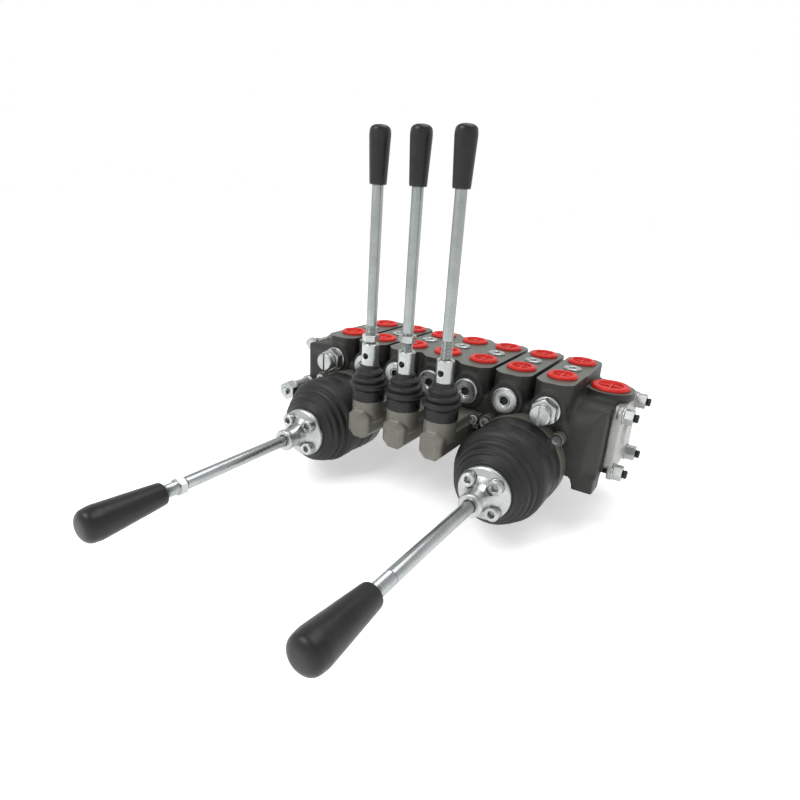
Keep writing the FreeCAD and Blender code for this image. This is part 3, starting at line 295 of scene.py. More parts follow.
def new_group(name, inputs, outputs):
    group = bpy.data.node_groups.new(name, "ShaderNodeTree")
    for label, value in inputs.items():
        socket = group.interface.new_socket(label, in_out="INPUT", socket_type="NodeSocketFloat")
        socket.default_value = value
    for label in outputs:
        group.interface.new_socket(label, in_out="OUTPUT", socket_type="NodeSocketFloat")
    return group, group.nodes.new("NodeGroupInput"), group.nodes.new("NodeGroupOutput")


def make_edge_wear():
    """Mask of corners, where paint rubs thin: the true normal against a rounded one."""
    group, source, sink = new_group("edge_wear", {"Radius": 0.0008, "Gain": 6.0,
                                                  "Scatter": 300.0}, ["Mask"])
    rounded = add_node(group, "ShaderNodeBevel", {"Radius": source.outputs["Radius"]}, samples=4)
    flat = add_node(group, "ShaderNodeNewGeometry")
    dot = add_node(group, "ShaderNodeVectorMath", {0: rounded.outputs["Normal"],
                                                   1: flat.outputs["Normal"]},
                   operation="DOT_PRODUCT")
    bend = add_node(group, "ShaderNodeMath", {0: 1.0, 1: dot.outputs["Value"]},
                    operation="SUBTRACT")
    coords = add_node(group, "ShaderNodeTexCoord")
    noise = add_node(group, "ShaderNodeTexNoise", {"Vector": coords.outputs["Object"],
                                                   "Scale": source.outputs["Scatter"],
                                                   "Detail": 4.0})
    rough = add_node(group, "ShaderNodeMath", {0: bend.outputs[0], 1: noise.outputs["Fac"]},
                     operation="MULTIPLY")
    gained = add_node(group, "ShaderNodeMath", {0: rough.outputs[0], 1: source.outputs["Gain"]},
                      operation="MULTIPLY", use_clamp=True)
    group.links.new(gained.outputs[0], sink.inputs["Mask"])
    return group


def make_cast_skin():
    """Sand-cast surface: fine grain and pits as a height, and slow mottling as a mask."""
    group, source, sink = new_group("cast_skin", {"Scale": 700.0}, ["Height", "Mottle"])
    coords = add_node(group, "ShaderNodeTexCoord")
    grain = add_node(group, "ShaderNodeTexNoise", {"Vector": coords.outputs["Object"],
                                                   "Scale": source.outputs["Scale"],
                                                   "Detail": 5.0, "Roughness": 0.6})
    pits = add_node(group, "ShaderNodeTexVoronoi", {"Vector": coords.outputs["Object"],
                                                    "Scale": source.outputs["Scale"]},
                    feature="SMOOTH_F1")
    both = add_node(group, "ShaderNodeMath", {0: grain.outputs["Fac"], 1: 0.35,
                                              2: pits.outputs["Distance"]},
                    operation="MULTIPLY_ADD")
    slow_scale = add_node(group, "ShaderNodeMath", {0: source.outputs["Scale"], 1: 0.05},
                          operation="MULTIPLY")
    slow = add_node(group, "ShaderNodeTexNoise", {"Vector": coords.outputs["Object"],
                                                  "Scale": slow_scale.outputs[0],
                                                  "Detail": 6.0, "Roughness": 0.65})
    group.links.new(both.outputs[0], sink.inputs["Height"])
    group.links.new(slow.outputs["Fac"], sink.inputs["Mottle"])
    return group


def make_tool_lines():
    """Fine lathe and draw lines: noise squeezed along one axis of the piece."""
    group, source, sink = new_group("tool_lines", {"X": 60.0, "Y": 60.0, "Z": 4000.0}, ["Lines"])
    coords = add_node(group, "ShaderNodeTexCoord")
    stretch = add_node(group, "ShaderNodeCombineXYZ", {axis: source.outputs[axis]
                                                       for axis in "XYZ"})
    scaled = add_node(group, "ShaderNodeVectorMath", {0: coords.outputs["Object"],
                                                      1: stretch.outputs[0]},
                      operation="MULTIPLY")
    noise = add_node(group, "ShaderNodeTexNoise", {"Vector": scaled.outputs[0], "Scale": 1.0,
                                                   "Detail": 3.0})
    group.links.new(noise.outputs["Fac"], sink.inputs["Lines"])
    return group


EDGE_WEAR, CAST_SKIN, TOOL_LINES = make_edge_wear(), make_cast_skin(), make_tool_lines()


def new_look(name, metallic, coat=0.0):
    """Empty material with its shader; returns the material, its tree and the shader."""
    look = bpy.data.materials.new(name)
    look.use_nodes = True
    tree = look.node_tree
    shader = tree.nodes["Principled BSDF"]
    shader.inputs["Metallic"].default_value = metallic
    shader.inputs["Coat Weight"].default_value = coat
    if metallic == 0.0:
        shader.inputs["Specular IOR Level"].default_value = 0.3
    return look, tree, shader


def use_group(tree, group, **values):
    made = add_node(tree, "ShaderNodeGroup", node_tree=group)
    for key, value in values.items():
        made.inputs[key].default_value = value
    return made


def colour_mix(tree, mask, first, second):
    mix = add_node(tree, "ShaderNodeMix", {"Factor": mask}, data_type="RGBA")
    for socket, value in ((mix.inputs[6], first), (mix.inputs[7], second)):
        if isinstance(value, bpy.types.NodeSocket):
            tree.links.new(value, socket)
        else:
            socket.default_value = (*value, 1.0)
    return mix.outputs[2]


def spread(tree, mask, low, high):
    """Maps a 0.3 to 0.7 noise to the range from low to high."""
    span = add_node(tree, "ShaderNodeMapRange", {"Value": mask, "From Min": 0.3, "From Max": 0.7,
                                                 "To Min": low, "To Max": high})
    return span.outputs["Result"]


def bump(tree, shader, height, depth, strength=1.0):
    made = add_node(tree, "ShaderNodeBump", {"Height": height, "Distance": depth * MM,
                                             "Strength": strength})
    tree.links.new(made.outputs["Normal"], shader.inputs["Normal"])


def casting_look(name, dark, light, worn, metallic, roughness, grain, depth, wear):
    """Painted or bare casting: mottled colour, grain, and edges rubbed to a lighter tone."""
    look, tree, shader = new_look(name, metallic)
    skin = use_group(tree, CAST_SKIN, Scale=grain)
    edges = use_group(tree, EDGE_WEAR, Radius=0.0009, Gain=wear)
    mottle = spread(tree, skin.outputs["Mottle"], 0.0, 1.0)
    tone = colour_mix(tree, mottle, dark, light)
    tree.links.new(colour_mix(tree, edges.outputs["Mask"], tone, worn),
                   shader.inputs["Base Color"])
    tree.links.new(spread(tree, skin.outputs["Mottle"], roughness - 0.06, roughness + 0.08),
                   shader.inputs["Roughness"])
    bump(tree, shader, skin.outputs["Height"], depth)
    return look


def metal_look(name, dark, light, roughness, lines, depth=0.01, metallic=1.0):
    """Plated or ground steel with tool lines along the given scales and a cloudy tarnish."""
    look, tree, shader = new_look(name, metallic)
    marks = use_group(tree, TOOL_LINES, X=lines[0], Y=lines[1], Z=lines[2])
    cloud = use_group(tree, CAST_SKIN, Scale=900.0)
    edges = use_group(tree, EDGE_WEAR, Radius=0.0004, Gain=5.0)
    tone = colour_mix(tree, spread(tree, cloud.outputs["Mottle"], 0.0, 1.0), dark, light)
    bright = tuple(min(1.0, c * 1.12) for c in light)
    tree.links.new(colour_mix(tree, edges.outputs["Mask"], tone, bright),
                   shader.inputs["Base Color"])
    tree.links.new(spread(tree, marks.outputs["Lines"], roughness - 0.07, roughness + 0.09),
                   shader.inputs["Roughness"])
    bump(tree, shader, marks.outputs["Lines"], depth)
    return look


def polymer_look(name, dark, light, roughness, grain, depth, coat=0.0):
    """Moulded plastic or rubber: slight tone changes, scuffed edges and a fine texture."""
    look, tree, shader = new_look(name, 0.0, coat)
    skin = use_group(tree, CAST_SKIN, Scale=grain)
    edges = use_group(tree, EDGE_WEAR, Radius=0.0005, Gain=3.5)
    tone = colour_mix(tree, spread(tree, skin.outputs["Mottle"], 0.0, 1.0), dark, light)
    scuffed = tuple(min(1.0, c * 1.35 + 0.01) for c in light)
    tree.links.new(colour_mix(tree, edges.outputs["Mask"], tone, scuffed),
                   shader.inputs["Base Color"])
    tree.links.new(spread(tree, skin.outputs["Mottle"], roughness - 0.07, roughness + 0.07),
                   shader.inputs["Roughness"])
    bump(tree, shader, skin.outputs["Height"], depth)
    return look


body_paint = casting_look("body_paint", (0.021, 0.021, 0.020), (0.034, 0.034, 0.031),
                          (0.075, 0.075, 0.070), 0.0, 0.50, 620.0, 0.10, 5.0)
# Flat machined faces: glossier and finer in grain, and lighter in tone as painted light from
# above
machined_paint_and_painted_light = casting_look("machined_paint_and_painted_light", (0.075, 0.090, 0.074), (0.115, 0.126, 0.104),
                              (0.26, 0.27, 0.24), 0.25, 0.40, 1500.0, 0.02, 7.0)
bare_alloy = casting_look("bare_alloy", (0.115, 0.113, 0.095), (0.180, 0.176, 0.150),
                          (0.36, 0.35, 0.32), 0.45, 0.48, 1100.0, 0.06, 4.0)
cover_alloy = casting_look("cover_alloy", (0.28, 0.28, 0.26), (0.42, 0.42, 0.40),
                           (0.60, 0.60, 0.58), 0.6, 0.42, 1100.0, 0.05, 4.0)
zinc_upright = metal_look("zinc_upright", (0.30, 0.33, 0.32), (0.38, 0.41, 0.40), 0.30,
                          (60.0, 60.0, 2500.0))
zinc_along = metal_look("zinc_along", (0.33, 0.35, 0.35), (0.43, 0.45, 0.45), 0.28,
                        (60.0, 2500.0, 60.0))
zinc_plain = metal_look("zinc_plain", (0.36, 0.38, 0.37), (0.52, 0.54, 0.53), 0.32,
                        (500.0, 500.0, 500.0))
ground_steel = metal_look("ground_steel", (0.40, 0.40, 0.40), (0.52, 0.52, 0.53), 0.25,
                          (60.0, 2500.0, 60.0))
black_oxide = metal_look("black_oxide", (0.016, 0.016, 0.017), (0.028, 0.028, 0.030), 0.45,
                         (400.0, 400.0, 1200.0), 0.01, 0.6)
red_plastic = polymer_look("red_plastic", (0.50, 0.010, 0.006), (0.62, 0.018, 0.010), 0.42,
                           900.0, 0.02)
black_plastic = polymer_look("black_plastic", (0.010, 0.010, 0.011), (0.016, 0.016, 0.017),
                             0.36, 1400.0, 0.03)
black_rubber = polymer_look("black_rubber", (0.010, 0.010, 0.010), (0.019, 0.019, 0.018), 0.46,
                            800.0, 0.06)
gasket_fibre = polymer_look("gasket_fibre", (0.05, 0.045, 0.035), (0.09, 0.08, 0.06), 0.8,
                            1500.0, 0.05)

SLOT_LOOKS = {"cast_body": body_paint, "cast_alloy": bare_alloy, "zinc_steel": zinc_plain,
              "steel": ground_steel, "black_steel": black_oxide, "red_plastic": red_plastic,
              "black_plastic": black_plastic, "rubber": black_rubber, "gasket": gasket_fibre}
for part in frame["record"]["subparts"]:
    mesh = frame["nodes"][part["node"]].data
    mesh.materials.clear()
    mesh.materials.append(SLOT_LOOKS[part["material_slot"]])


# ---- Shared fasteners ---------------------------------------------------------------------
def socket_screw(head_r, head_h, key_flats, shank_r, grip):
    """Cap screw along Z: its head stands on z = 0, its shank reaches below."""
    head = turned(eased([(0, -grip), (shank_r - 0.4, -grip), (shank_r, -grip + 0.5),
                         (shank_r, 0), (head_r - 0.2, 0), (head_r, 0.3),
                         (head_r, head_h - 0.8), (head_r - 0.7, head_h), (0, head_h)], 0.15, 2),
                  sides=48)
    combine(head, hex_socket(key_flats, head_h, head_h * 0.62), "DIFFERENCE")
    return smooth(head, 32)


def hex_socket(flats, top, depth):
    """Tool for a hexagonal recess whose mouth is at z = top, with a drill point below."""
    key = rod(flats / math.sqrt(3), top - depth, top + 1, (0, 0, 0), "z", 6)
    drill = turned([(0, top - depth - 0.9), (flats * 0.48, top - depth + 0.3),
                    (flats * 0.48, top - depth + 0.6), (0, top - depth + 0.6)], sides=24)
    countersink = turned([(0, top - 0.5), (flats * 0.5, top - 0.5), (flats * 0.66, top + 0.4),
                          (flats * 0.66, top + 1), (0, top + 1)], sides=24)
    return combine(combine(key, drill, "UNION"), countersink, "UNION")


def hex_nut(flats, height, bore):
    nut = hex_bar(flats, height)
    hole = turned([(0, -1), (bore + 1.2, -1), (bore, 0.6), (bore, height - 0.6),
                   (bore + 1.2, height + 1), (0, height + 1)], sides=48)
    return smooth(combine(nut, hole, "DIFFERENCE"), 32)


def thread(radius, pitch, start, end):
    """Profile points of a thread from start to end: crests at radius, roots below it."""
    points = []
    turns = int((end - start) / pitch)
    for i in range(turns):
        low = start + i * pitch
        points += [(radius - 0.55 * pitch, low), (radius, low + 0.42 * pitch),
                   (radius, low + 0.58 * pitch)]
    return points


# ---- Body casting -------------------------------------------------------------------------
def ridge_lump(x):
    lump = block((x - 17.5, x + 17.5), (BODY_FRONT, BODY_REAR), (60, PORT_TOP + 8))
    return bevel_edges(lump, lambda a, b: abs(a.z - b.z) > 5, 8.0)


def body_end(side, top, boss_x):
    inner, outer = 130.0, END_X
    span = sorted((side * inner, side * outer))
    lump = block(span, (BODY_FRONT, BODY_REAR), (UNDERSIDE, 77))
    bevel_edges(lump, lambda a, b: abs(a.z - b.z) > 5 and abs(a.x) > END_X - 1, 11.0)
    bevel_edges(lump, lambda a, b: min(a.z, b.z) > 76 and max(a.y, b.y) < BODY_FRONT + 1,
                top - 46, 8)
    boss = rod(22.5, 60, top + 8, (boss_x, 0, 0))
    return [lump, boss]


def foot_lump(side_x, side_y):
    outer = side_x * END_X
    inner = side_x * (END_X - 22)
    edge = BODY_REAR - 0.5 if side_y > 0 else BODY_FRONT + 0.5
    lump = block(sorted((inner, outer)), sorted((edge, edge - side_y * 28)), (-6, 14))
    select_only(lump)
    bpy.ops.object.mode_set(mode="EDIT")
    bpy.ops.mesh.select_mode(type="FACE")
    bpy.ops.mesh.select_all(action="DESELECT")
    bpy.ops.object.mode_set(mode="OBJECT")
    for face in lump.data.polygons:
        face.select = face.normal.z < -0.9
    bpy.ops.object.mode_set(mode="EDIT")
    pivot = Vector((outer, edge, -6)) * MM
    bpy.ops.transform.resize(value=(0.78, 0.8, 1), center_override=pivot)
    bpy.ops.object.mode_set(mode="OBJECT")
    return lump


def valve_body():
    """Rough casting, then machined: port tops, boss faces, feet and their tapped holes."""
    core = END_X - 32
    lumps = [block((-core, core), (BODY_FRONT, BODY_REAR), (UNDERSIDE, 68))]
    lumps += [ridge_lump(x) for x in SPOOL_X]
    lumps += body_end(1, INLET_TOP, INLET_X) + body_end(-1, OUTLET_TOP, TANK_X)
    lumps += [foot_lump(sx, sy) for sx in (-1, 1) for sy in (-1, 1)]
    for x in SPOOL_X:
        lumps.append(rod(16, -BODY_REAR - 6, -BODY_FRONT + 6, (x, 0, AUX_Z), "-y"))
    body = cast("casting_body", lumps, 1.9, 3)
    face_off(body, (0, 0, PORT_TOP), (0, 0, 1))
    face_off(body, (0, BODY_FRONT - AUX_BOSS, 0), (0, -1, 0))
    face_off(body, (0, BODY_REAR + AUX_BOSS, 0), (0, 1, 0))
    face_off(body, (0, 0, 0), (0, 0, -1))
    for side, top in ((1, INLET_TOP), (-1, OUTLET_TOP)):
        span = sorted((side * (END_X - 31), side * (END_X + 14)))
        combine(body, block(span, (-60, 60), (top, top + 20)), "DIFFERENCE")
        span = sorted((side * END_X, side * (END_X + 14)))
        combine(body, block(span, (-60, 60), (0, COVER_TOP)), "DIFFERENCE")
    holes = [rod(4.25, -1, 18, spot, sides=32) for spot in FOOT_HOLES]
    combine(body, join("holes", holes), "DIFFERENCE")
    body.data.materials.clear()
    for look in (body_paint, machined_paint_and_painted_light):
        body.data.materials.append(look)
    # Flat faces at the port tops and at the underside take the second material, whose lighter
    # tone is painted light
    for face in body.data.polygons:
        height = face.center.z / MM
        level = min(abs(height - h) for h in (PORT_TOP, INLET_TOP, OUTLET_TOP, 0.0)) < 0.05
        face.material_index = 1 if level and abs(face.normal.z) > 0.999 else 0
    smooth(body, 40)
    return finish_piece(body, None, "base", "valve_body", slot="cast_body")


# ---- Plugs --------------------------------------------------------------------------------
def transport_plug(name, radius, spots, node):
    """Moulded plug: a rolled flange, a sunk round centre with a raised cross in it."""
    recess = radius * 0.62
    profile = [(0, -9), (radius * 0.62, -9), (radius * 0.62, 0), (radius, 0), (radius, 1.6),
               (radius - 1.2, 3.0), (recess + 1.6, 3.2), (recess + 0.3, 2.6), (recess, 0.9),
               (0, 0.9)]
    plug = turned(eased(profile, 0.6, 3), sides=64)
    bar = block((-recess, recess), (-0.8, 0.8), (0.4, 2.0))
    other = block((-0.8, 0.8), (-recess, recess), (0.4, 2.0))
    combine(combine(plug, bar, "UNION"), other, "UNION")
    smooth(plug, 40)
    return finish_piece(copies(name, plug, spots), red_plastic, "base", node,
                        slot="red_plastic")


def check_plugs():
    plug = turned(eased([(0, -7), (6.9, -7), (6.9, 0), (8.6, 0), (8.6, 1.3), (7.7, 2.0),
                         (5.4, 2.0), (5.0, 1.7), (0, 1.7)], 0.25), sides=64)
    combine(plug, hex_socket(6.0, 1.7, 4.5), "DIFFERENCE")
    smooth(plug, 32)
    spots = [(x, 0, PORT_TOP) for x in SPOOL_X]
    return finish_piece(copies("check_valve_plugs", plug, spots), zinc_plain, "base",
                        "load_check_plugs", slot="zinc_steel")


def blanking_plugs():
    """Screw plugs with a hex socket: front of the middle sections, rear of all."""
    plug = turned(eased([(0, -10), (9, -10), (9, 0), (12.5, 0), (12.5, 3.4), (11.6, 4.3),
                         (6.2, 4.5), (5.6, 4.0), (0, 4.0)], 0.35), sides=72)
    combine(plug, hex_socket(8.0, 4.0, 6.5), "DIFFERENCE")
    smooth(plug, 32)
    rear = plug.copy()
    rear.data = plug.data.copy()
    bpy.context.scene.collection.objects.link(rear)
    front = place(plug, (0, 0, 0), "-y")
    rear = place(rear, (0, 0, 0), "y")
    front_spots = [(x, BODY_FRONT - AUX_BOSS, AUX_Z) for x in SPOOL_X[1:-1]]
    rear_spots = [(x, BODY_REAR + AUX_BOSS, AUX_Z) for x in SPOOL_X]
    made = [copies("front_plugs", front, front_spots), copies("rear_plugs", rear, rear_spots)]
    return finish_piece(join("blanking_screw_plugs", made), zinc_plain, "base",
                        "blanking_plugs", slot="zinc_steel")


def relief_valve(name, x):
    """Cartridge of the outer sections: washer, hexagon and a slotted, threaded adjuster."""
    face = BODY_FRONT - AUX_BOSS
    washer = turned(eased([(0, -8), (9, -8), (9, 0), (12.8, 0), (12.8, 2.6), (11.5, 3.0),
                           (0, 3.0)], 0.3))
    flats = place(hex_bar(22.0, 9.0, 0.10), (0, 0, 3.0))
    neck = turned(eased([(0, 11), (8.4, 11), (8.4, 13.4)] + thread(8.6, 1.2, 13.4, 16.8)
                        + [(8.0, 17.2), (0, 17.2)], 0.12, 2))
    cap = turned(eased([(0, 16.5), (9.4, 16.5), (9.6, 17.0), (9.6, 20.0), (8.6, 21.2),
                        (0, 21.4)], 0.5))
    combine(cap, block((-1.2, 1.2), (-11, 11), (19.2, 23)), "DIFFERENCE")
    made = [smooth(piece, 32) for piece in (washer, flats, neck, cap)]
    return place(join(name, made), (x, face, AUX_Z), "-y")


def relief_valves():
    made = [relief_valve("relief_a", SPOOL_X[0]), relief_valve("relief_b", SPOOL_X[-1])]
    sleeve = turned(eased([(0, 0), (9.8, 0), (9.8, 4)] + [(8.0, 4.4), (8.0, 26), (9.6, 26.6),
                          (9.6, 30), (0, 30)], 0.4))
    flats = place(hex_bar(18.0, 9.0, 0.10), (0, 0, 30))
    tip = turned(eased([(0, 38), (4.4, 38), (4.4, 43), (3.6, 44), (0, 44)], 0.3), sides=32)
    main = place(join("relief_main", [smooth(p, 32) for p in (sleeve, flats, tip)]),
                 (MAIN_X, BODY_FRONT, SPOOL_Z), "-y")
    return finish_piece(join("relief_cartridge_set", made + [main]), zinc_plain, "base",
                        "relief_cartridges", "relief_adjusters", slot="zinc_steel")


# ---- End covers ---------------------------------------------------------------------------
def end_cover(side, name, node):
    low, high = node_box(node)
    plate = block((low.x, high.x), (low.y, high.y), (low.z, high.z))
    bevel_edges(plate, lambda a, b: abs(a.x - b.x) > 4, 9.0)
    outer = high.x if side > 0 else low.x
    ring = rod(15, outer - 4 if side > 0 else outer - 2.5, outer + 2.5 if side > 0 else outer + 4,
               (0, 0, 46), "x")
    bosses = [rod(8.5, min(outer, outer - side * 4), max(outer, outer - side * 4) ,
                  (0, y, z), "x") for y in (-29, 29) for z in (14, 69)]
    cover = cast(name, [plate, ring] + bosses, 0.8, 3)
    face = low.x if side > 0 else high.x
    face_off(cover, (face, 0, 0), (-side, 0, 0))
    smooth(cover, 40)
    return finish_piece(cover, cover_alloy, "base", node, slot="cast_alloy")


def cover_fasteners():
    start = END_X + 1 + 8
    nut = hex_nut(13.0, 8.0, 4.0)
    washer = turned(eased([(4.1, 0), (8.0, 0), (8.0, 1.2), (4.1, 1.2), (4.1, 0)], 0.1, 2))
    nut = join("nut", [place(nut, (0, 0, 1.0)), smooth(washer, 32)])
    stud = turned(eased([(0, -20)] + thread(4.0, 1.25, -20, 12) + [(3.9, 12.2), (3.2, 12.9),
                                                                  (0, 12.9)], 0.1, 2), sides=32)
    smooth(stud, 32)
    nuts, studs = [], []
    for side, along in ((1, "x"), (-1, "-x")):
        spots = [(side * start, y, z) for y in (-29, 29) for z in (14, 69)]
        for shape, made in ((nut, nuts), (stud, studs)):
            one = shape.copy()
            one.data = shape.data.copy()
            bpy.context.scene.collection.objects.link(one)
            made.append(copies("fastener", place(one, (0, 0, 0), along), spots))
    remove(nut)
    remove(stud)
    finish_piece(join("cover_hex_nuts", nuts), zinc_plain, "base", "cover_nuts",
                 slot="zinc_steel")
    finish_piece(join("cover_threaded_studs", studs), black_oxide, "base", "cover_studs",
                 slot="black_steel")


# ---- Rear spring caps ---------------------------------------------------------------------
def spring_caps():
    h = 18.0
    flange = block((-h, h), (0, 8), (-h, h))
    bevel_edges(flange, lambda a, b: abs(a.y - b.y) > 4, 5.0, 4)
    dome = turned(eased([(0, 0), (15.5, 0), (15.5, 33), (12.5, 44), (10, 49.5), (0, 51)], 3.0, 5),
                  (0, 0, 0), "y")
    cap = cast("cap", [flange, dome], 1.0, 3)
    face_off(cap, (0, 0.0, 0), (0, -1, 0))
    pockets = [rod(5.6, 8, 20, (x, 0, z), "y", 32) for x in (-14, 14) for z in (-14, 14)]
    combine(cap, join("pockets", pockets), "DIFFERENCE")
    smooth(cap, 40)
    made = copies("spring_end_caps", cap, [(x, BODY_REAR, SPOOL_Z) for x in SPOOL_X])
    finish_piece(made, body_paint, "base", "spring_caps", slot="cast_body")
    screw = place(socket_screw(5.0, 6.0, 5.0, 3.0, 17.0), (0, 0, 0), "y")
    spots = [(x + dx, BODY_REAR + 8, SPOOL_Z + dz) for x in SPOOL_X for dx in (-14, 14)
             for dz in (-14, 14)]
    finish_piece(copies("spring_cap_bolts", screw, spots), zinc_plain, "base",
                 "spring_cap_screws", slot="zinc_steel")


# ---- Hand levers --------------------------------------------------------------------------
NOSE_Y = node_box("lever_boxes")[0].y + 1.2    # a raised pad stands on the nose
NOSE_Z = SPOOL_Z + 2


def lever_box(name, x):
    """Alloy casting: octagonal nose with a raised pad, tower, web and flange with ears."""
    barrel = block((-12, 12), (NOSE_Y, BODY_FRONT + 2), (NOSE_Z - 14.5, NOSE_Z + 14.5))
    bevel_edges(barrel, lambda a, b: abs(a.y - b.y) > 30, 6.5)
    bevel_edges(barrel, lambda a, b: max(a.y, b.y) < NOSE_Y + 1, 2.2)
    pad = block((-7.6, 7.6), (NOSE_Y - 1.1, NOSE_Y + 5), (NOSE_Z - 9.6, NOSE_Z + 9.6))
    bevel_edges(pad, lambda a, b: abs(a.y - b.y) > 3, 4.0)
    tower = rod(15, 36, 57, (0, LEVER_Y, 0))
    web = block((-10, 10), (LEVER_Y, BODY_FRONT + 2), (40, 51))
    ear = block((-18, 18), (BODY_FRONT - 8, BODY_FRONT + 2), (SPOOL_Z + 4, SPOOL_Z + 18))
    skirt = block((-13, 13), (BODY_FRONT - 8, BODY_FRONT + 2), (SPOOL_Z - 18, SPOOL_Z + 14))
    box = cast(name, [barrel, pad, tower, web, ear, skirt], 0.8, 3)
    face_off(box, (0, BODY_FRONT, 0), (0, 1, 0))
    face_off(box, (0, 0, 56), (0, 0, 1))
    hollow = join("hollow", [rod(12.3, 38, 60, (0, LEVER_Y, 0)),
                             rod(8.1, 112, 129.6, (0, 0, SPOOL_Z), "-y"),
                             block((-9.2, 9.2), (-127.2, -71.5), (24, 43.5))])
    apply_modifier(hollow, "REMESH", mode="VOXEL", voxel_size=0.6 * MM)
    combine(box, hollow, "DIFFERENCE")
    smooth(box, 40)
    return place(box, (x, 0, 0))


def lever_boxes():
    boxes = [lever_box(f"box_{i}", x) for i, x in enumerate(LEVER_X, 1)]
    finish_piece(join("lever_housings", boxes), bare_alloy, "base", "lever_boxes",
                 slot="cast_alloy")
    screw = place(socket_screw(5.0, 6.0, 5.0, 3.0, 17.0), (0, 0, 0), "-y")
    spots = [(x + dx, BODY_FRONT - 8, SPOOL_Z + 14) for x in LEVER_X for dx in (-14, 14)]
    finish_piece(copies("lever_housing_bolts", screw, spots), zinc_plain, "base",
                 "lever_box_screws", slot="zinc_steel")
    collar = turned(eased([(12.4, 56), (15.2, 56), (15.75, 56.6), (15.75, 66), (14.6, 67.4),
                           (14.6, 70), (12.4, 70), (12.4, 56)], 0.4))
    combine(collar, rod(2.6, 0, 30, (0, 0, 61), "x", 24), "DIFFERENCE")
    smooth(collar, 35)
    finish_piece(copies("collars", collar, [(x, LEVER_Y, 0) for x in LEVER_X]), black_oxide,
                 "base", "lever_collars", slot="black_steel")


def lever_boots():
    """Small bellows: it is clipped over the collar and hugs the lever's holder."""
    outside = [(14.7, 68.4), (16.8, 68.5), (17.9, 69.8), (18.0, 71.8), (17.2, 73.4),
               (14.4, 74.4), (14.2, 75.2), (16.2, 76.0), (16.6, 77.6), (15.6, 79.2),
               (12.4, 80.2), (12.2, 81.2), (13.2, 82.0), (13.0, 84.2), (10.8, 86.0),
               (9.4, 87.0), (9.2, 90.0), (8.4, 90.6)]
    inside = [(8.05, 90.0), (8.05, 86.6), (10.6, 83.6), (10.8, 80.2), (13.2, 77.6),
              (12.9, 74.2), (15.6, 72.0), (14.7, 70.2), (14.7, 68.4)]
    for i, x in enumerate(LEVER_X, 1):
        boot = turned(eased(outside + inside, 0.6, 3), (x, LEVER_Y, 0))
        boot.name = f"lever_bellows_{i}"
        smooth(boot, 50)
        boot.data.materials.append(black_rubber)
        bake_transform(boot)
        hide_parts("lever_boots")


def hand_levers():
    for i, x in enumerate(LEVER_X, 1):
        body = f"lever_{i}"
        low, high = node_box(f"lever_rod_{i}")
        shaft = turned(eased([(0, low.z), (4.2, low.z)]
                             + thread(5.0, 1.25, low.z + 0.5, 129)
                             + [(5.0, 129.5), (5.0, high.z - 4), (0, high.z - 4)], 0.1, 2),
                       (x, LEVER_Y, 0), sides=48)
        shaft.name = f"lever_shaft_{i}"
        finish_piece(smooth(shaft, 35), zinc_upright, body, f"lever_rod_{i}",
                     slot="zinc_steel")
        low, high = node_box(f"lever_knob_{i}")
        grip = turned(eased([(5.05, low.z + 6), (5.05, low.z), (7.0, low.z),
                             (7.5, low.z + 0.9), (9.3, high.z - 7.5), (8.7, high.z - 2.6),
                             (5.4, high.z - 0.3), (0, high.z)], 2.2, 5),
                      (x, LEVER_Y, 0))
        grip.name = f"lever_grip_{i}"
        finish_piece(smooth(grip, 60), black_plastic, body, f"lever_knob_{i}",
                     slot="black_plastic")
        low, high = node_box(f"lever_lock_nut_{i}")
        nut = place(hex_nut(14.0, high.z - low.z, 5.0), (x, LEVER_Y, low.z))
        nut.name = f"lever_jam_nut_{i}"
        finish_piece(nut, zinc_plain, body, f"lever_lock_nut_{i}", slot="zinc_steel")


# ---- Joysticks ----------------------------------------------------------------------------
BOOT_RISE = 4.5               # the housings stand this far above the joint centres


def lean(obj, start, step, drop):
    """Lowers a lathe shape little by little towards the levers, so that its axis bends down."""
    for i in range(9):
        limit = (start - i * step) * MM
        select_only(obj)
        bpy.ops.object.mode_set(mode="EDIT")
        bpy.ops.mesh.select_mode(type="VERT")
        bpy.ops.mesh.select_all(action="DESELECT")
        bpy.ops.object.mode_set(mode="OBJECT")
        for point in obj.data.vertices:
            point.select = point.co.y < limit
        bpy.ops.object.mode_set(mode="EDIT")
        bpy.ops.transform.translate(value=(0, 0, -drop / 9 * MM))
        bpy.ops.object.mode_set(mode="OBJECT")
    return obj


def joystick_boots(side, x, z):
    """Large bellows in two pieces that meet in the crease, one for each joint."""
    rear = [(40.8, 75.3), (42.4, 75.3), (43.2, 76.2), (43.5, 84.0), (43.0, 90.6),
            (41.0, 92.6), (43.0, 94.6), (43.6, 102.0), (43.6, 110.5), (42.6, 114.4),
            (39.8, 116.8), (37.6, 117.4), (37.0, 118.6), (37.2, 119.5), (35.4, 119.5),
            (36.4, 114.6), (39.6, 111.0), (40.8, 75.3)]
    front = [(37.2, 119.5), (38.4, 120.8), (38.4, 122.6), (37.2, 124.0), (34.8, 124.4),
             (34.4, 125.6), (35.4, 127.0), (34.6, 129.4), (31.8, 130.6), (31.2, 131.8),
             (31.0, 133.2), (27.8, 135.0), (25.4, 138.0), (21.7, 138.0), (21.7, 136.2),
             (24.8, 135.8), (30.6, 129.0), (33.4, 123.5), (35.4, 119.5), (37.2, 119.5)]
    made = turned(eased(rear, 0.9, 3), (x, 0, z + BOOT_RISE), "-y", 96)
    made.name = f"joystick_bellows_rear_{side}"
    tip = turned(eased(front, 0.6, 3), (x, 0, z + BOOT_RISE), "-y", 96)
    tip.name = f"joystick_bellows_front_{side}"
    for obj in (made, tip):
        lean(obj, -111.0, 2.4, BOOT_RISE)
        smooth(obj, 50)
        obj.data.materials.append(black_rubber)
        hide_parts("joystick_boots")
    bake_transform(made)
    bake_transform(tip)


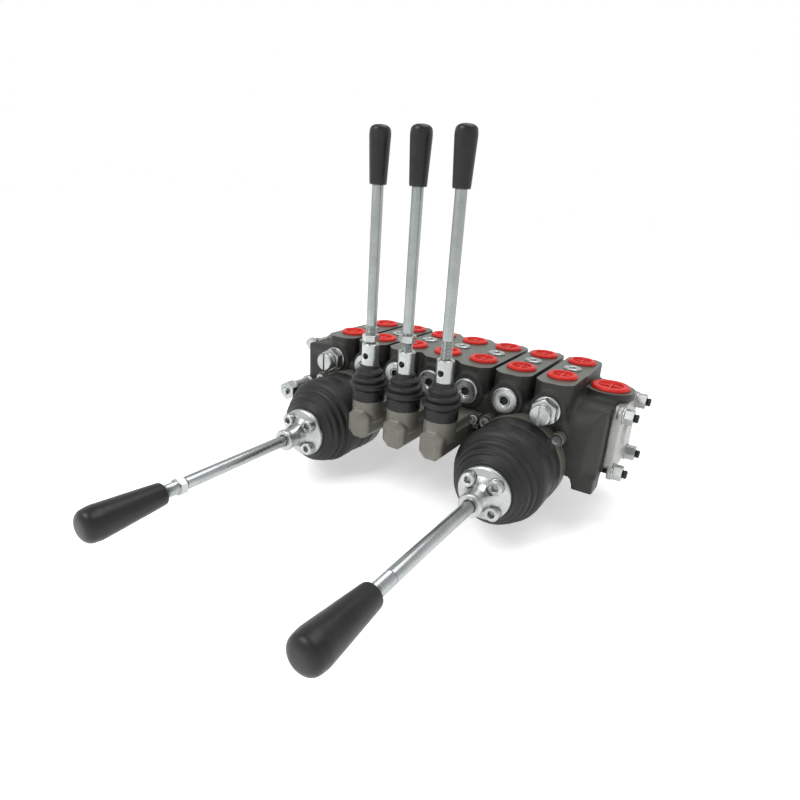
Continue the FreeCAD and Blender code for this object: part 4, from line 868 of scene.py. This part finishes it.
def joystick_head(side, x, z):
    """Clamped flange with its neck, four cap screws, rod and grip; the left one's nut comes from
    left_lock_nut.
    """
    body = f"joystick_{side}"
    cap = turned(eased([(0, 138), (23.6, 138), (24, 138.5), (24, 142), (22.6, 143.2),
                        (16, 145.6), (12.4, 150), (10.4, 156), (9.4, 163), (9.2, 164.4),
                        (10.4, 165), (10.4, 169), (9.4, 170), (5.6, 170), (5.6, 158),
                        (0, 158)], 0.8, 4), (x, 0, z), "-y", 72)
    spots = [(x + dx * 12, -143, z + dz * 12) for dx in (-1, 1) for dz in (-1, 1)]
    pockets = [rod(6.9, 0, 20, spot, "-y", 40) for spot in spots]
    combine(cap, join("pockets", pockets), "DIFFERENCE")
    cap.name = f"joystick_flange_{side}"
    finish_piece(smooth(cap, 35), zinc_plain, body, f"joystick_cap_{side}", slot="zinc_steel")
    screw = place(socket_screw(6.5, 8.0, 6.0, 4.0, 13.0), (0, 0, 0), "-y")
    screws = copies(f"joystick_bolts_{side}", screw, spots)
    finish_piece(screws, zinc_plain, body, f"joystick_cap_screws_{side}", slot="zinc_steel")
    start, end = 158.0, 345.0
    shaft = turned(eased([(0, start), (5.5, start), (5.55, end - 62)]
                         + thread(5.55, 1.25, end - 62, end - 40)
                         + [(5.0, end - 40), (5.0, end), (0, end)], 0.1, 2),
                   (x, 0, z), "-y", 48)
    shaft.name = f"joystick_shaft_{side}"
    finish_piece(smooth(shaft, 35), zinc_along, body, f"joystick_rod_{side}",
                 slot="zinc_steel")
    low, high = node_box(f"joystick_knob_{side}")
    near, far = -high.y, -low.y
    grip = turned(eased([(5.65, near + 8), (5.65, near), (8.8, near), (9.5, near + 1.2),
                         (13.6, far - 12), (12.6, far - 4.0), (8.0, far - 0.6), (0, far)],
                        3.0, 6), (x, 0, z), "-y")
    grip.name = f"joystick_grip_{side}"
    finish_piece(smooth(grip, 60), black_plastic, body, f"joystick_knob_{side}",
                 slot="black_plastic")


def left_lock_nut():
    low, high = node_box("joystick_lock_nut")
    x, z = SIDES["left"].x, SIDES["left"].z
    nut = place(hex_nut(14.0, high.y - low.y, 5.6), (x, high.y, z), "-y")
    nut.name = "joystick_jam_nut"
    finish_piece(nut, zinc_plain, "joystick_left", "joystick_lock_nut", slot="zinc_steel")


# ---- The object ---------------------------------------------------------------------------
valve_body()
work_spots = [(x, y, PORT_TOP) for x in SPOOL_X for y in (-PORT_Y, PORT_Y)]
transport_plug("work_port_caps", 14.2, work_spots, "work_port_plugs")
transport_plug("inlet_cap", 18.0, [(INLET_X, 0, INLET_TOP)], "inlet_plug")
transport_plug("tank_cap", 18.0, [(TANK_X, 0, OUTLET_TOP)], "tank_plug")
check_plugs()
blanking_plugs()
relief_valves()
end_cover(1, "inlet_end_cover", "inlet_cover")
end_cover(-1, "outlet_end_cover", "outlet_cover")
cover_fasteners()
spring_caps()
lever_boxes()
lever_boots()
hand_levers()
for side, spot in SIDES.items():
    joystick_boots(side, spot.x, spot.z)
    joystick_head(side, spot.x, spot.z)
left_lock_nut()


# ---- Stage, light and camera --------------------------------------------------------------
def make_stage():
    bpy.ops.object.select_all(action="DESELECT")
    bpy.ops.mesh.primitive_circle_add(vertices=96, radius=12, fill_type="NGON",
                                      location=(0, 0, -0.04))
    floor = bpy.context.object
    floor.name = "floor"
    look, _, shader = new_look("pale_floor", 0.0)
    shader.inputs["Base Color"].default_value = (0.95, 0.95, 0.95, 1)
    shader.inputs["Emission Color"].default_value = (1, 1, 1, 1)
    shader.inputs["Emission Strength"].default_value = 0.42
    shader.inputs["Roughness"].default_value = 0.9
    floor.data.materials.append(look)
    settle(floor)


def add_softbox(name, at, aim, size, power):
    light = bpy.data.lights.new(name, "AREA")
    light.shape = "RECTANGLE"
    light.size, light.size_y = size
    light.energy = power
    obj = bpy.data.objects.new(name, light)
    bpy.context.scene.collection.objects.link(obj)
    obj.location = at
    obj.rotation_euler = (Vector(aim) - Vector(at)).to_track_quat("-Z", "Y").to_euler()


def make_light():
    world = bpy.data.worlds.new("studio")
    world.use_nodes = True
    tree = world.node_tree
    background = tree.nodes["Background"]
    spot = add_node(tree, "ShaderNodeTexCoord")
    axes = add_node(tree, "ShaderNodeSeparateXYZ", {"Vector": spot.outputs["Generated"]})
    dome = add_node(tree, "ShaderNodeMapRange", {"Value": axes.outputs["Z"], "From Min": 0.30,
                                                 "From Max": 0.75, "To Min": 1.0,
                                                 "To Max": 0.45})
    tree.links.new(dome.outputs["Result"], background.inputs["Strength"])
    background.inputs["Color"].default_value = (1.0, 1.0, 1.0, 1)
    bpy.context.scene.world = world
    add_softbox("key", (-0.6, -1.1, 1.3), (0, -0.1, 0.05), (0.8, 0.8), 14)
    add_softbox("top", (0.2, 0.3, 1.6), (0, 0, 0.05), (1.4, 1.0), 12)


def make_camera():
    azimuth, elevation, roll = math.radians(31.31), math.radians(19.38), math.radians(3.73)
    back = Vector((math.sin(azimuth) * math.cos(elevation),
                   -math.cos(azimuth) * math.cos(elevation), math.sin(elevation)))
    level = Vector((math.cos(azimuth), math.sin(azimuth), 0))
    upright = back.cross(level)
    right = math.cos(roll) * level + math.sin(roll) * upright
    up = math.cos(roll) * upright - math.sin(roll) * level
    data = bpy.data.cameras.new("camera")
    data.lens, data.sensor_width = 25.64, 36.0
    camera = bpy.data.objects.new("camera", data)
    bpy.context.scene.collection.objects.link(camera)
    turn = Matrix((right, up, back)).transposed().to_4x4()
    camera.matrix_world = Matrix.Translation((0.25724, -0.54433, 0.23948)) @ turn
    bpy.context.scene.camera = camera


make_stage()
make_light()
make_camera()
bpy.context.scene.view_settings.view_transform = "Standard"
